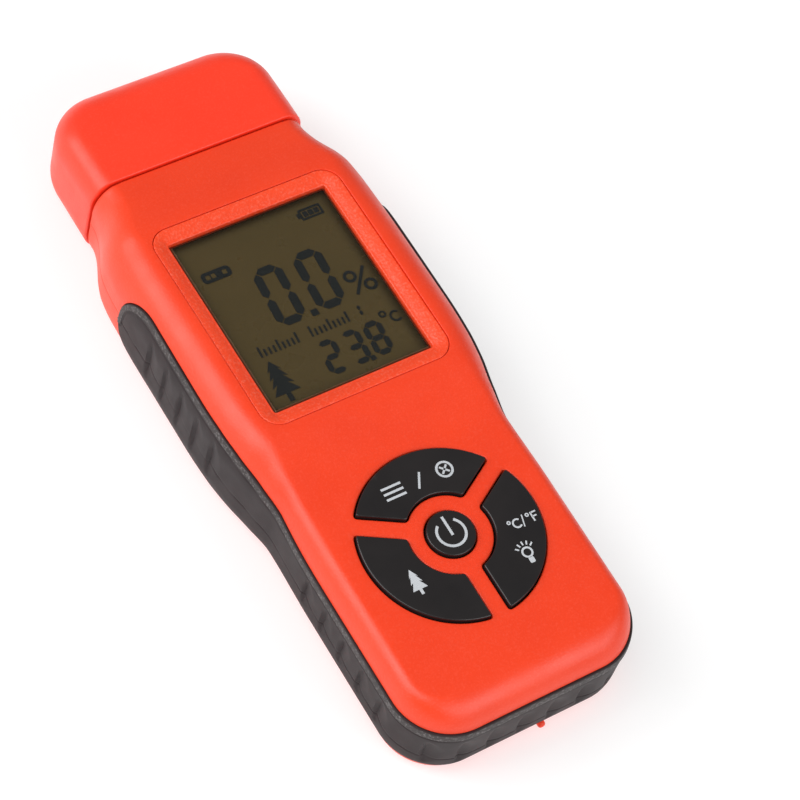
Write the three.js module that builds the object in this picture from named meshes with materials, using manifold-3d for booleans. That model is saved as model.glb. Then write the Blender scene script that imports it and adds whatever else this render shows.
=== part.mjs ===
// Two-pin moisture meter, lying on its back.
// Millimetres. +Z is up out of the display face, +Y points to the pins and their cap,
// +X is to the right of somebody reading the display.
// The origin is below the middle of the meter, on the surface that it lies on.
import * as THREE from 'three';
import { mergeVertices } from 'three/addons/utils/BufferGeometryUtils.js';
import Module from 'manifold-3d';

const wasm = await Module();
wasm.setup();

// ---------------------------------------------------------------- driving dimensions

const FAR = 90;                     // beyond the meter on every side
const GAP = 0.3;                    // room between pieces that touch
const WALL = 2.0;                   // wall of the two housing shells
const SEAM_Z = 11.5;                // height where the front and the back shell meet

const BOTTOM_Y = -78.4;             // end of the handle
const MOUTH_Y = 54.9;               // end of the housing, where the cap begins
const CORNER_R = 12.0;              // plan radius of the handle's two corners

// Half width of the housing along its length: handle, waist, head, neck, mouth.
const HALF_WIDTH = [
  [-90, 26.3], [-40, 26.3], [-24, 26.0], [-17, 27.1], [-10, 28.4], [-4, 29.1], [4, 29.4],
  [24, 29.4], [36, 29.2], [41, 28.7], [44, 27.8], [47, 26.4], [50, 25.1], [53, 24.4], [60, 24.3],
];
// Height of the front face along the length: the display stands a little above the keys.
const FRONT_Z = [
  [-90, 24.2], [-25, 24.2], [-17, 25.4], [-10, 26.8], [40, 25.56], [49, 23.9], [60, 22.2],
];
// Rounding from the side up to the front face: how far it reaches in, and how far down.
const FRONT_ROUND_IN = [[-90, 3.65], [-24, 3.8], [-10, 6.8], [38, 7.2], [47, 5.6], [60, 4.6]];
const FRONT_ROUND_DOWN = [[-90, 7.9], [-24, 7.9], [-10, 9.8], [38, 10.0], [60, 7.2]];
const END_ROUND_IN = 7.3;           // the same rounding across the end of the handle
const BACK_ROUND_IN = 4.65;
const BACK_ROUND_DOWN = 7.4;
const ROUND_STEPS = 4;

const BAND_PROUD = 0.5;             // how far the rubber stands out of the housing
const BAND_DEPTH = 1.6;             // how deep it is sunk in
const BAND_HANDLE_Z = [5.4, 18.7];  // lower and upper edge of the rubber along the handle
const BAND_HEAD_Z = [3.6, 22.1];    // the same beside the display
const BAND_TIP_Y = 33.1;            // where the two tongues end

const RING_Y = -42.9;               // centre of the round key field
const RING_R = 18.6;                // outer radius of the three key segments
const RING_INNER_R = 8.8;
const POWER_R = 4.9;
const SPOKE = 4.2;                  // width of the housing's spokes between segments
const KEY_PROUD = 0.7;
const KEY_BEVEL = 0.5;
const KEY_FLANGE = 0.9;             // how far a key's flange reaches under the housing
const KEY_FLANGE_T = 1.0;
const KEY_BOTTOM_Z = 20.9;
const FRONT_FLAT_Z = 24.2;          // front face around the keys

const BEZEL = { w: 42.9, h: 49.4, r: 4.2 };
const WINDOW = { w: 36.3, h: 42.8, r: 0.5 };
const DISPLAY_Y = 15.3;
const DISPLAY_Z = 26.15;
const DISPLAY_TILT = -Math.atan2(1.24, 50);
const BEZEL_LIP = 1.0;              // the bezel's flange reaches this far under the housing
const FLANGE_Z = [-3.8, -2.8];
const DISH = 0.85;                  // the bezel's face sinks this much towards the window
const LENS_TOP = -1.5;              // heights below the bezel's outer edge
const LENS_BOTTOM = -2.5;
const LCD_TOP = -2.8;
const LCD_MARGIN = 1.1;             // how far the glass reaches past the window on every side
const LCD_T = 2.0;
const BACKLIGHT_TOP = -5.1;
const BACKLIGHT_T = 1.5;
const BEZEL_BOTTOM = -5.0;
const STRIP = { halfL: 15, w: 1.8, inset: 1.4 };

const BOARD_Z = 14.5;
const BOARD_T = 1.6;
const BOARD_TOP = BOARD_Z + BOARD_T;
const BOARD_HALF = [
  [20.5, -73], [22.5, -66], [22.5, -24], [25, -8], [25, 34], [22.5, 42], [21, 49],
];
const BUZZER = { r: 4.5, y: -15.8, top: 20.8, portR: 1.0, portZ: 19.6 };
const CHIP = { half: 5, y: 15, t: 1.6 };

const SWITCH = 6.0;
const SWITCH_TOP = 19.4;
const SWITCH_WELL_R = 2.1;
const SWITCH_WELL_Z = 17.2;
const PLUNGER_R = 1.7;
const PLUNGER_Z = [18.3, 20.6];

const CELL_R = 5.2;                 // AAA cell
const CELL_LENGTH = 44.5;
const CELL_PITCH = 10.9;
const CELL_Y = -50.8;               // middle of the cells
const CELL_Z = 7.6;
const CELL_NUB_R = 1.9;
const CELL_NUB = 1.0;
const BAY = { halfW: 17.2, y0: -75.4, y1: -26.9, bottom: 1.0, top: 14.2, wall: 1.2 };
const CONTACT = { halfW: 15.5, t: 0.6, clear: 0.45, z: [3.6, 11.4] };

const DOOR = { halfW: 17.8, y1: -25.0, top: 5.0, t: 1.8 };
const DOOR_HINGE_Z = 1.0;
const TAB = { x: 4.0, w: 1.6, y: [-79.0, -75.5], z: [2.6, 4.2] };   // a fingernail lifts the door by it

const CAP = { halfW: 24.8, y0: 55.3, y1: 79.0, cornerR: 11.2, bottom: 0.4, wall: 1.8 };
const CAP_FRONT_Z = [[50, 23.35], [56, 23.3], [72, 22.6], [82, 22.2]];
const CAP_ROUND = 6.5;              // rounding up to the front face
const CAP_BACK_END_ROUND = 6.7;     // the cap's end is a little rounder towards its back
const CAP_SIDE_ROUND = 5.0;

const PIN_X = 11.0;
const PIN_Z = 11.5;
const PIN_R = 1.1;
const HEX_FLATS = 5.0;
const HEX_Y = [62.8, 66.3];
const PIN_TIP_Y = 76.4;
const PIN_TIP_LENGTH = 4.5;
const PIN_FOOT_Y = 55;              // the pin's thread ends here inside its insert
const THREAD_R = 1.2;
const INSERT = { r: 2.5, bore: 1.5, y: [46.5, 62.2], boreY: 54 };

// The block's three steps: tenon in the housing, collar against its mouth, nose under the cap.
const BLOCK_FACE_Y = 62.5;
const BLOCK_TENON = { halfW: 20.6, halfH: 8.2, r: 3, y: [49.6, 56.5] };
const BLOCK_COLLAR = { halfW: 22.4, halfH: 8.9, r: 4, y: [MOUTH_Y + GAP, 58.2] };
const BLOCK_NOSE = { halfW: 20.4, halfH: 7.6, r: 3.4, y: [57.5, BLOCK_FACE_Y] };
const BLOCK_RIB = { halfW: 2.2, y: [56.2, 60.5], z: [7, 8.3] };
const BLOCK_BORE_R = 2.8;
const BLOCK_HOLLOW = { halfW: 6.5, halfH: 5.5, y1: 60 };

const SCREW_PLACES = [[-19.2, -19.5], [19.2, -19.5], [-19.2, 43.5], [19.2, 43.5]];
const SCREW_R = 1.1;
const SCREW_HEAD_R = 2.4;
const SCREW_HEAD_Z = [3.6, 5.4];
const SCREW_TIP_Z = 18.0;
const PILOT_TOP_Z = 18.6;
const SLOT = { halfL: 1.5, halfW: 0.35, depth: 1.0 };
const BOSS_R = 3.2;
const SLEEVE_R = 3.9;

// ---------------------------------------------------------------- materials

const look = (color, roughness, metalness = 0, extra = {}) =>
  new THREE.MeshStandardMaterial({ color, roughness, metalness, ...extra });
const RED = look(0xf24a2e, 0.45);
const RUBBER = look(0x4b4648, 0.6);
const KEY = look(0x2d2a2b, 0.3);
const CLEAR = look(0xcfd4c8, 0.05, 0, { transparent: true, opacity: 0.3 });
const LCD = look(0x5a4e30, 0.25);
const BACKLIGHT = look(0xe9e6da, 0.4);
const ELASTOMER = look(0x8a8f96, 0.7);
const BOARD = look(0x1f5c39, 0.5);
const BLACK_PART = look(0x1b1b1d, 0.5);
const CHROME = look(0xc8c9cc, 0.18, 1);
const BRASS = look(0xb8935a, 0.35, 1);
const STEEL = look(0x9a9c9f, 0.35, 1);
const CELL = look(0x3a5f8a, 0.4, 0.3);

// ---------------------------------------------------------------- solids and booleans

function solid(geometry) {
  const bare = geometry.index ? geometry.toNonIndexed() : geometry.clone();
  bare.deleteAttribute('normal');
  bare.deleteAttribute('uv');
  const merged = mergeVertices(bare, 1e-4);
  return new wasm.Manifold(new wasm.Mesh({
    numProp: 3,
    vertProperties: new Float32Array(merged.attributes.position.array),
    triVerts: new Uint32Array(merged.index.array),
  }));
}

function geometryOf(manifold) {
  const mesh = manifold.getMesh();
  const geometry = new THREE.BufferGeometry();
  geometry.setAttribute('position', new THREE.BufferAttribute(mesh.vertProperties, 3));
  geometry.setIndex(new THREE.BufferAttribute(mesh.triVerts, 1));
  geometry.computeVertexNormals();
  return geometry;
}

const cut = (body, ...tools) => tools.reduce((rest, tool) => rest.subtract(tool), body);
const join = (body, ...others) => others.reduce((whole, other) => whole.add(other), body);

function box(x0, x1, y0, y1, z0, z1) {
  const geometry = new THREE.BoxGeometry(x1 - x0, y1 - y0, z1 - z0);
  geometry.translate((x0 + x1) / 2, (y0 + y1) / 2, (z0 + z1) / 2);
  return solid(geometry);
}

function rodZ(radius, x, y, z0, z1, sides = 20) {
  const geometry = new THREE.CylinderGeometry(radius, radius, z1 - z0, sides);
  geometry.rotateX(Math.PI / 2);
  geometry.translate(x, y, (z0 + z1) / 2);
  return solid(geometry);
}

function rodY(radius, x, z, y0, y1, sides = 20) {
  const geometry = new THREE.CylinderGeometry(radius, radius, y1 - y0, sides);
  geometry.translate(x, (y0 + y1) / 2, z);
  return solid(geometry);
}

function prism(shape, z0, z1, curveSegments = 5) {
  const geometry = new THREE.ExtrudeGeometry(shape, { depth: z1 - z0, bevelEnabled: false, curveSegments });
  geometry.translate(0, 0, z0);
  return solid(geometry);
}

function roundedRect(w, h, r) {
  const x = w / 2;
  const y = h / 2;
  const shape = new THREE.Shape();
  shape.absarc(x - r, y - r, r, 0, Math.PI / 2);
  shape.absarc(-x + r, y - r, r, Math.PI / 2, Math.PI);
  shape.absarc(-x + r, -y + r, r, Math.PI, 1.5 * Math.PI);
  shape.absarc(x - r, -y + r, r, 1.5 * Math.PI, 2 * Math.PI);
  return shape;
}

// A smooth function of one value through [position, value] points, with no overshoot.
function through(points) {
  const slope = points.map((point, i) => {
    if (i === 0 || i === points.length - 1) return 0;
    const before = (point[1] - points[i - 1][1]) / (point[0] - points[i - 1][0]);
    const after = (points[i + 1][1] - point[1]) / (points[i + 1][0] - point[0]);
    return before * after <= 0 ? 0 : (2 * before * after) / (before + after);
  });
  return (at) => {
    const last = points.length - 1;
    if (at <= points[0][0]) return points[0][1];
    if (at >= points[last][0]) return points[last][1];
    const i = points.findIndex((point) => point[0] > at) - 1;
    const span = points[i + 1][0] - points[i][0];
    const t = (at - points[i][0]) / span;
    const rise = points[i + 1][1] - points[i][1];
    const bend = (1 - t) ** 2 * t * slope[i] * span - (1 - t) * t ** 2 * slope[i + 1] * span;
    return points[i][1] + rise * (3 * t ** 2 - 2 * t ** 3) + bend;
  };
}

// A closed solid from rings of points that are mirrored in the plane x = 0. Each ring is given by
// its right half, ordered along Y; the first and the last ring are closed by strips across X.
function ladder(halves) {
  const count = halves[0].length;
  const ring = 2 * count;
  const positions = [];
  for (const half of halves) {
    for (const [x, y, z] of half) positions.push(x, y, z);
    for (const [x, y, z] of [...half].reverse()) positions.push(-x, y, z);
  }
  const index = [];
  for (let level = 0; level < halves.length - 1; level += 1) {
    for (let i = 0; i < ring; i += 1) {
      const next = (i + 1) % ring;
      const low = level * ring;
      const high = low + ring;
      index.push(low + i, low + next, high + next, low + i, high + next, high + i);
    }
  }
  const top = (halves.length - 1) * ring;
  for (let i = 0; i < count - 1; i += 1) {
    const right = [i, i + 1];
    const left = [ring - 1 - i, ring - 2 - i];
    index.push(top + right[0], top + right[1], top + left[1], top + right[0], top + left[1], top + left[0]);
    index.push(right[0], left[1], right[1], right[0], left[0], left[1]);
  }
  const geometry = new THREE.BufferGeometry();
  geometry.setAttribute('position', new THREE.Float32BufferAttribute(positions, 3));
  geometry.setIndex(index);
  return solid(geometry);
}

// ---------------------------------------------------------------- housing form

const halfWidthAt = through(HALF_WIDTH);
const frontAt = through(FRONT_Z);
const roundInAt = through(FRONT_ROUND_IN);
const roundDownAt = through(FRONT_ROUND_DOWN);
const SIDE_STATIONS = [
  -62, -45, -32, -24, -20, -17, -13.5, -10, -6, -1, 6, 24, 34, 38, 41, 43.5, 46, 48.5, 51, 54, 60,
];

// Right half of the plan outline, grown outwards by a distance: a corner arc and the side.
function planOutline(grow) {
  const outline = [];
  const arcSteps = 6;
  for (let i = 0; i <= arcSteps; i += 1) {
    const turn = (i / arcSteps) * (Math.PI / 2);
    const normal = [Math.sin(turn), -Math.cos(turn)];
    const centre = [halfWidthAt(-FAR) - CORNER_R, BOTTOM_Y + CORNER_R];
    outline.push({
      x: centre[0] + (CORNER_R + grow) * normal[0],
      y: centre[1] + (CORNER_R + grow) * normal[1],
      normal,
    });
  }
  for (const y of SIDE_STATIONS) {
    const lean = halfWidthAt(y + 0.5) - halfWidthAt(y - 0.5);
    const normal = [1 / Math.hypot(1, lean), -lean / Math.hypot(1, lean)];
    outline.push({ x: halfWidthAt(y) + grow * normal[0], y: y + grow * normal[1], normal });
  }
  return outline;
}

// The whole housing as one form, grown outwards by a distance (negative shrinks it).
function housingForm(grow) {
  const outline = planOutline(grow);
  const halves = [];
  for (let step = 0; step <= ROUND_STEPS; step += 1) {
    const turn = (1 - step / ROUND_STEPS) * (Math.PI / 2);
    halves.push(outline.map((point) => {
      const inset = (BACK_ROUND_IN + 0.5 * grow) * (1 - Math.cos(turn));
      const z = -grow + (BACK_ROUND_DOWN + 0.5 * grow) * (1 - Math.sin(turn));
      return [point.x - inset * point.normal[0], point.y - inset * point.normal[1], z];
    }));
  }
  for (let step = 0; step <= ROUND_STEPS; step += 1) {
    const turn = (step / ROUND_STEPS) * (Math.PI / 2);
    halves.push(outline.map((point) => {
      const end = point.y < SIDE_STATIONS[0] ? point.normal[1] ** 2 : 0;
      const reach = roundInAt(point.y) * (1 - end) + END_ROUND_IN * end + 0.5 * grow;
      const inset = reach * (1 - Math.cos(turn));
      const x = point.x - inset * point.normal[0];
      const y = point.y - inset * point.normal[1];
      return [x, y, frontAt(y) + grow - (roundDownAt(y) + 0.5 * grow) * (1 - Math.sin(turn))];
    }));
  }
  return ladder(halves);
}

const OUTER = housingForm(0).intersect(box(-FAR, FAR, -FAR, MOUTH_Y, -FAR, FAR));
const CAVITY = housingForm(-WALL);

// ---------------------------------------------------------------- rubber grip band

// Side view of the band, looking along X: shape x is along Y and shape y is along Z.
function bandProfile(clear) {
  const low = [BAND_HANDLE_Z[0] - clear, BAND_HEAD_Z[0] - clear];
  const high = [BAND_HANDLE_Z[1] + clear, BAND_HEAD_Z[1] + clear];
  const tip = BAND_TIP_Y + clear;
  const shape = new THREE.Shape();
  shape.moveTo(-FAR, low[0]);
  shape.lineTo(-30, low[0]);
  shape.bezierCurveTo(-20, low[0], -14, low[1], 0, low[1]);
  shape.lineTo(tip - 7, low[1]);
  shape.bezierCurveTo(tip - 3, low[1], tip, low[1] + 3, tip, low[1] + 7);
  shape.bezierCurveTo(tip, low[1] + 13, tip - 2, high[1], tip - 10, high[1]);
  shape.lineTo(-2, high[1]);
  shape.bezierCurveTo(-17, high[1], -22, high[0], -34, high[0]);
  shape.lineTo(-FAR, high[0]);
  shape.closePath();
  return shape;
}

function bandPrism(clear) {
  const width = 80;
  const geometry = new THREE.ExtrudeGeometry(bandProfile(clear), {
    depth: width, bevelEnabled: false, curveSegments: 6,
  });
  // Shape (along, up, depth) becomes (depth, along, up).
  geometry.applyMatrix4(new THREE.Matrix4().set(0, 0, 1, -width / 2, 1, 0, 0, 0, 0, 1, 0, 0, 0, 0, 0, 1));
  return solid(geometry);
}

function gripBand() {
  return housingForm(BAND_PROUD).intersect(bandPrism(0)).subtract(housingForm(-BAND_DEPTH + GAP));
}

const BAND_POCKET = cut(
  housingForm(BAND_PROUD + 2).intersect(bandPrism(0.25)),
  housingForm(-BAND_DEPTH),
);

// ---------------------------------------------------------------- keys and their holes

function segmentShape(fromDeg, toDeg, grow) {
  const from = THREE.MathUtils.degToRad(fromDeg);
  const to = THREE.MathUtils.degToRad(toDeg);
  const half = SPOKE / 2 - grow;
  const outer = RING_R + grow;
  const inner = RING_INNER_R - grow;
  const shape = new THREE.Shape();
  shape.absarc(0, RING_Y, outer, from + Math.asin(half / outer), to - Math.asin(half / outer), false);
  shape.absarc(0, RING_Y, inner, to - Math.asin(half / inner), from + Math.asin(half / inner), true);
  shape.closePath();
  return shape;
}

function roundShape(radius) {
  const shape = new THREE.Shape();
  shape.absarc(0, RING_Y, radius, 0, 2 * Math.PI, false);
  return shape;
}

const SWITCH_REACH = 13.4;
const KEYS = [
  { name: 'power', shape: (grow) => roundShape(POWER_R + grow), at: [0, RING_Y] },
  { name: 'mode', shape: (grow) => segmentShape(30, 150, grow), angle: 90 },
  { name: 'tree', shape: (grow) => segmentShape(150, 270, grow), angle: 210 },
  { name: 'light', shape: (grow) => segmentShape(270, 390, grow), angle: 330 },
];
for (const key of KEYS) {
  if (key.angle !== undefined) {
    const turn = THREE.MathUtils.degToRad(key.angle);
    key.at = [SWITCH_REACH * Math.cos(turn), RING_Y + SWITCH_REACH * Math.sin(turn)];
  }
}

function keyCap(key) {
  const top = FRONT_FLAT_Z + KEY_PROUD;
  const face = new THREE.ExtrudeGeometry(key.shape(-KEY_BEVEL), {
    depth: top - KEY_BOTTOM_Z - 2 * KEY_BEVEL,
    bevelEnabled: true,
    bevelThickness: KEY_BEVEL,
    bevelSize: KEY_BEVEL,
    bevelSegments: 1,
    curveSegments: 10,
  });
  face.translate(0, 0, KEY_BOTTOM_Z + KEY_BEVEL);
  const flange = prism(key.shape(KEY_FLANGE), KEY_BOTTOM_Z, KEY_BOTTOM_Z + KEY_FLANGE_T, 10);
  return join(solid(face), flange);
}

const keyHole = (key) => prism(key.shape(GAP), KEY_BOTTOM_Z - 2, FRONT_FLAT_Z + 5, 12);

function switchBody(key) {
  const [x, y] = key.at;
  const half = SWITCH / 2;
  const body = box(x - half, x + half, y - half, y + half, BOARD_TOP + GAP, SWITCH_TOP);
  return cut(body, rodZ(SWITCH_WELL_R, x, y, SWITCH_WELL_Z, SWITCH_TOP + 1, 14));
}

const switchPlunger = (key) => rodZ(PLUNGER_R, key.at[0], key.at[1], PLUNGER_Z[0], PLUNGER_Z[1], 14);

// ---------------------------------------------------------------- display stack, drawn about its own centre

const displayPlace = new THREE.Matrix4()
  .makeRotationX(DISPLAY_TILT)
  .setPosition(0, DISPLAY_Y, DISPLAY_Z);

function placed(manifold) {
  const geometry = geometryOf(manifold);
  geometry.applyMatrix4(displayPlace);
  return solid(geometry);
}

function slab(w, h, r, z0, z1) {
  return prism(roundedRect(w, h, r), z0, z1);
}

// A funnel between two rounded rectangles with the same number of points.
function funnel(low, lowZ, high, highZ) {
  const steps = 5;
  const rings = [[low, lowZ], [high, highZ]].map(([size, z]) =>
    roundedRect(size.w, size.h, size.r).getPoints(steps).slice(0, -1).map((p) => [p.x, p.y, z]));
  const count = rings[0].length;
  const positions = [...rings.flat(), [0, 0, lowZ], [0, 0, highZ]].flat();
  const index = [];
  for (let i = 0; i < count; i += 1) {
    const next = (i + 1) % count;
    index.push(i, next, count + next, i, count + next, count + i);
    index.push(2 * count, next, i, 2 * count + 1, count + i, count + next);
  }
  const geometry = new THREE.BufferGeometry();
  geometry.setAttribute('position', new THREE.Float32BufferAttribute(positions, 3));
  geometry.setIndex(index);
  return solid(geometry);
}

function displayBezel() {
  const flange = slab(BEZEL.w + 2 * BEZEL_LIP, BEZEL.h + 2 * BEZEL_LIP, BEZEL.r, ...FLANGE_Z);
  const body = join(slab(BEZEL.w, BEZEL.h, BEZEL.r, BEZEL_BOTTOM, 0), flange);
  const dish = funnel(WINDOW, -DISH, { w: BEZEL.w + 0.2, h: BEZEL.h + 0.2, r: BEZEL.r }, 0.05);
  const margin = 2 * (LCD_MARGIN + GAP);
  const window = slab(WINDOW.w, WINDOW.h, WINDOW.r, LCD_TOP - 1, 1);
  const pocket = slab(WINDOW.w + margin, WINDOW.h + margin, 1, BEZEL_BOTTOM - 1, LCD_TOP + GAP);
  return cut(body, dish, window, pocket);
}

const GLASS = { w: WINDOW.w + 2 * LCD_MARGIN, h: WINDOW.h + 2 * LCD_MARGIN, r: 0.8 };
const displayLens = () => slab(WINDOW.w - 2 * GAP, WINDOW.h - 2 * GAP, WINDOW.r, LENS_BOTTOM, LENS_TOP);
const lcdPanel = () => slab(GLASS.w, GLASS.h, GLASS.r, LCD_TOP - LCD_T, LCD_TOP);
const lcdBacklight = () => slab(
  GLASS.w, GLASS.h - 2 * (STRIP.inset + STRIP.w), GLASS.r, BACKLIGHT_TOP - BACKLIGHT_T, BACKLIGHT_TOP,
);

// The strips join the glass to the board along its two short edges.
function elastomerStrip(side) {
  const along = side * (GLASS.h / 2 - STRIP.inset);
  const y = DISPLAY_Y + along;
  const under = DISPLAY_Z + Math.tan(DISPLAY_TILT) * along + LCD_TOP - LCD_T;
  return box(-STRIP.halfL, STRIP.halfL, y - STRIP.w / 2, y + STRIP.w / 2, BOARD_TOP + GAP, under - GAP);
}

// ---------------------------------------------------------------- housing shells

function screwBoss([x, y]) {
  return rodZ(BOSS_R, x, y, SEAM_Z + GAP, frontAt(y) - 1, 16);
}

function frontCover() {
  const above = box(-FAR, FAR, -FAR, FAR, SEAM_Z + GAP / 2, FAR);
  const opening = placed(slab(BEZEL.w + 2 * GAP, BEZEL.h + 2 * GAP, BEZEL.r + GAP, BEZEL_BOTTOM, 4));
  const lip = 2 * (BEZEL_LIP + GAP);
  const seat = placed(slab(BEZEL.w + lip, BEZEL.h + lip, BEZEL.r + GAP, BEZEL_BOTTOM - 3, FLANGE_Z[1] + GAP));
  const shell = cut(OUTER.intersect(above), CAVITY, BAND_POCKET, opening, ...KEYS.map(keyHole));
  const bosses = SCREW_PLACES.map((place) => screwBoss(place).intersect(housingForm(-WALL / 2)));
  const pilots = SCREW_PLACES.map(([x, y]) => rodZ(SCREW_R + GAP, x, y, SEAM_Z - 1, PILOT_TOP_Z, 12));
  return cut(join(shell, ...bosses), seat, ...pilots);
}

const BELOW_SEAM = box(-FAR, FAR, -FAR, FAR, -FAR, SEAM_Z - GAP / 2);

function batteryBay() {
  const { halfW, y0, y1, bottom, top, wall } = BAY;
  const outside = box(-halfW - wall, halfW + wall, y0 - wall, y1 + wall, bottom, top);
  const rooted = housingForm(-WALL / 2).intersect(BELOW_SEAM);
  const room = join(rooted, housingForm(-WALL - GAP));
  return cut(outside, box(-halfW, halfW, y0, y1, -FAR, top - wall)).intersect(room);
}

function screwSleeve([x, y]) {
  return rodZ(SLEEVE_R, x, y, 1, SEAM_Z - GAP, 16);
}

function screwBore([x, y]) {
  return join(
    rodZ(SCREW_HEAD_R + GAP, x, y, -2, SCREW_HEAD_Z[1] + GAP, 14),
    rodZ(SCREW_R + GAP, x, y, 0, SEAM_Z + 1, 12),
  );
}

function doorSpace(clear) {
  const { halfW, y1, top } = DOOR;
  return box(-halfW - clear, halfW + clear, -FAR, y1 + clear, -FAR, top + clear);
}

function backCover() {
  const shell = cut(OUTER.intersect(BELOW_SEAM), CAVITY, BAND_POCKET);
  const sleeves = SCREW_PLACES.map((place) => screwSleeve(place).intersect(housingForm(-WALL / 2)));
  const whole = join(shell, batteryBay(), ...sleeves);
  const bay = box(-BAY.halfW, BAY.halfW, BAY.y0, BAY.y1, -FAR, BAY.top - BAY.wall);
  return cut(whole, BAND_POCKET, doorSpace(GAP), bay, ...SCREW_PLACES.map(screwBore));
}

// ---------------------------------------------------------------- battery door and cells

function batteryDoor() {
  const { halfW, y1, t } = DOOR;
  const plate = OUTER.intersect(doorSpace(0)).subtract(housingForm(-t));
  const squareEdge = box(-halfW - 1, halfW + 1, y1 - DOOR_HINGE_Z, y1 + 1, -FAR, DOOR.top);
  const barrel = new THREE.CylinderGeometry(DOOR_HINGE_Z, DOOR_HINGE_Z, 2 * halfW, 16);
  barrel.rotateZ(Math.PI / 2);
  barrel.translate(0, y1 - DOOR_HINGE_Z, DOOR_HINGE_Z);
  const tab = box(TAB.x - TAB.w / 2, TAB.x + TAB.w / 2, ...TAB.y, ...TAB.z);
  return join(cut(plate, squareEdge), solid(barrel), tab);
}

function batteryCell(column) {
  const x = column * CELL_PITCH;
  const direction = column === 0 ? -1 : 1;
  const half = CELL_LENGTH / 2;
  const can = rodY(CELL_R, x, CELL_Z, CELL_Y - half + CELL_NUB / 2, CELL_Y + half - CELL_NUB / 2, 24);
  const end = CELL_Y + direction * half;
  const root = end - direction * CELL_NUB;
  const nub = rodY(CELL_NUB_R, x, CELL_Z, Math.min(end, root), Math.max(end, root), 12);
  return join(can, nub);
}

function contactStrip(side) {
  const { halfW, t, clear, z } = CONTACT;
  const y = side > 0 ? BAY.y1 - t - clear : BAY.y0 + clear;
  return box(-halfW, halfW, y, y + t, ...z);
}

// ---------------------------------------------------------------- circuit board and what it carries

function circuitBoard() {
  const left = [...BOARD_HALF].reverse().map(([x, y]) => [-x, y]);
  const outline = [...BOARD_HALF, ...left].map(([x, y]) => new THREE.Vector2(x, y));
  const shape = new THREE.Shape(outline);
  const notches = SCREW_PLACES.map(([x, y]) => rodZ(BOSS_R + 0.5, x, y, BOARD_Z - 1, BOARD_TOP + 1, 16));
  return cut(prism(shape, BOARD_Z, BOARD_TOP), ...notches);
}

const buzzer = () => cut(
  rodZ(BUZZER.r, 0, BUZZER.y, BOARD_TOP + GAP, BUZZER.top, 20),
  rodZ(BUZZER.portR, 0, BUZZER.y, BUZZER.portZ, BUZZER.top + 1, 10),
);

function measuringChip() {
  const { half, y, t } = CHIP;
  return box(-half, half, y - half, y + half, BOARD_Z - GAP - t, BOARD_Z - GAP);
}

// ---------------------------------------------------------------- pin block, pins and inserts

// A rounded rectangle across the meter, extruded along Y and centred on the pins' height.
function crossSlab({ halfW, halfH, r, y: [y0, y1] }) {
  const geometry = new THREE.ExtrudeGeometry(roundedRect(2 * halfW, 2 * halfH, r), {
    depth: y1 - y0, bevelEnabled: false, curveSegments: 5,
  });
  geometry.rotateX(-Math.PI / 2);
  geometry.translate(0, y0, PIN_Z);
  return solid(geometry);
}

function pinBlock() {
  const { halfW, y: ribY, z: ribZ } = BLOCK_RIB;
  const rib = box(-halfW, halfW, ...ribY, PIN_Z + ribZ[0], PIN_Z + ribZ[1]);
  const body = join(crossSlab(BLOCK_TENON), crossSlab(BLOCK_COLLAR), crossSlab(BLOCK_NOSE), rib);
  const back = BLOCK_TENON.y[0] - 1;
  const bores = [-PIN_X, PIN_X].map((x) => rodY(BLOCK_BORE_R, x, PIN_Z, back, BLOCK_FACE_Y + 1, 18));
  const { halfW: wide, halfH: high, y1 } = BLOCK_HOLLOW;
  const hollow = box(-wide, wide, back, y1, PIN_Z - high, PIN_Z + high);
  return cut(body, ...bores, hollow);
}

function pinInsert(side) {
  const x = side * PIN_X;
  const { r, bore, y, boreY } = INSERT;
  return cut(rodY(r, x, PIN_Z, ...y, 18), rodY(bore, x, PIN_Z, boreY, y[1] + 1, 12));
}

function pin(side) {
  const x = side * PIN_X;
  const hexR = HEX_FLATS / Math.sqrt(3);
  const hex = new THREE.CylinderGeometry(hexR, hexR, HEX_Y[1] - HEX_Y[0], 6);
  hex.translate(x, (HEX_Y[0] + HEX_Y[1]) / 2, PIN_Z);
  const needle = new THREE.LatheGeometry([
    new THREE.Vector2(0, PIN_FOOT_Y),
    new THREE.Vector2(THREAD_R, PIN_FOOT_Y),
    new THREE.Vector2(THREAD_R, HEX_Y[0] + 0.5),
    new THREE.Vector2(PIN_R, HEX_Y[1] - 0.5),
    new THREE.Vector2(PIN_R, PIN_TIP_Y - PIN_TIP_LENGTH),
    new THREE.Vector2(0.12, PIN_TIP_Y),
    new THREE.Vector2(0, PIN_TIP_Y),
  ], 14);
  needle.translate(x, 0, PIN_Z);
  return join(solid(hex), solid(needle));
}

// ---------------------------------------------------------------- cap

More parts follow.
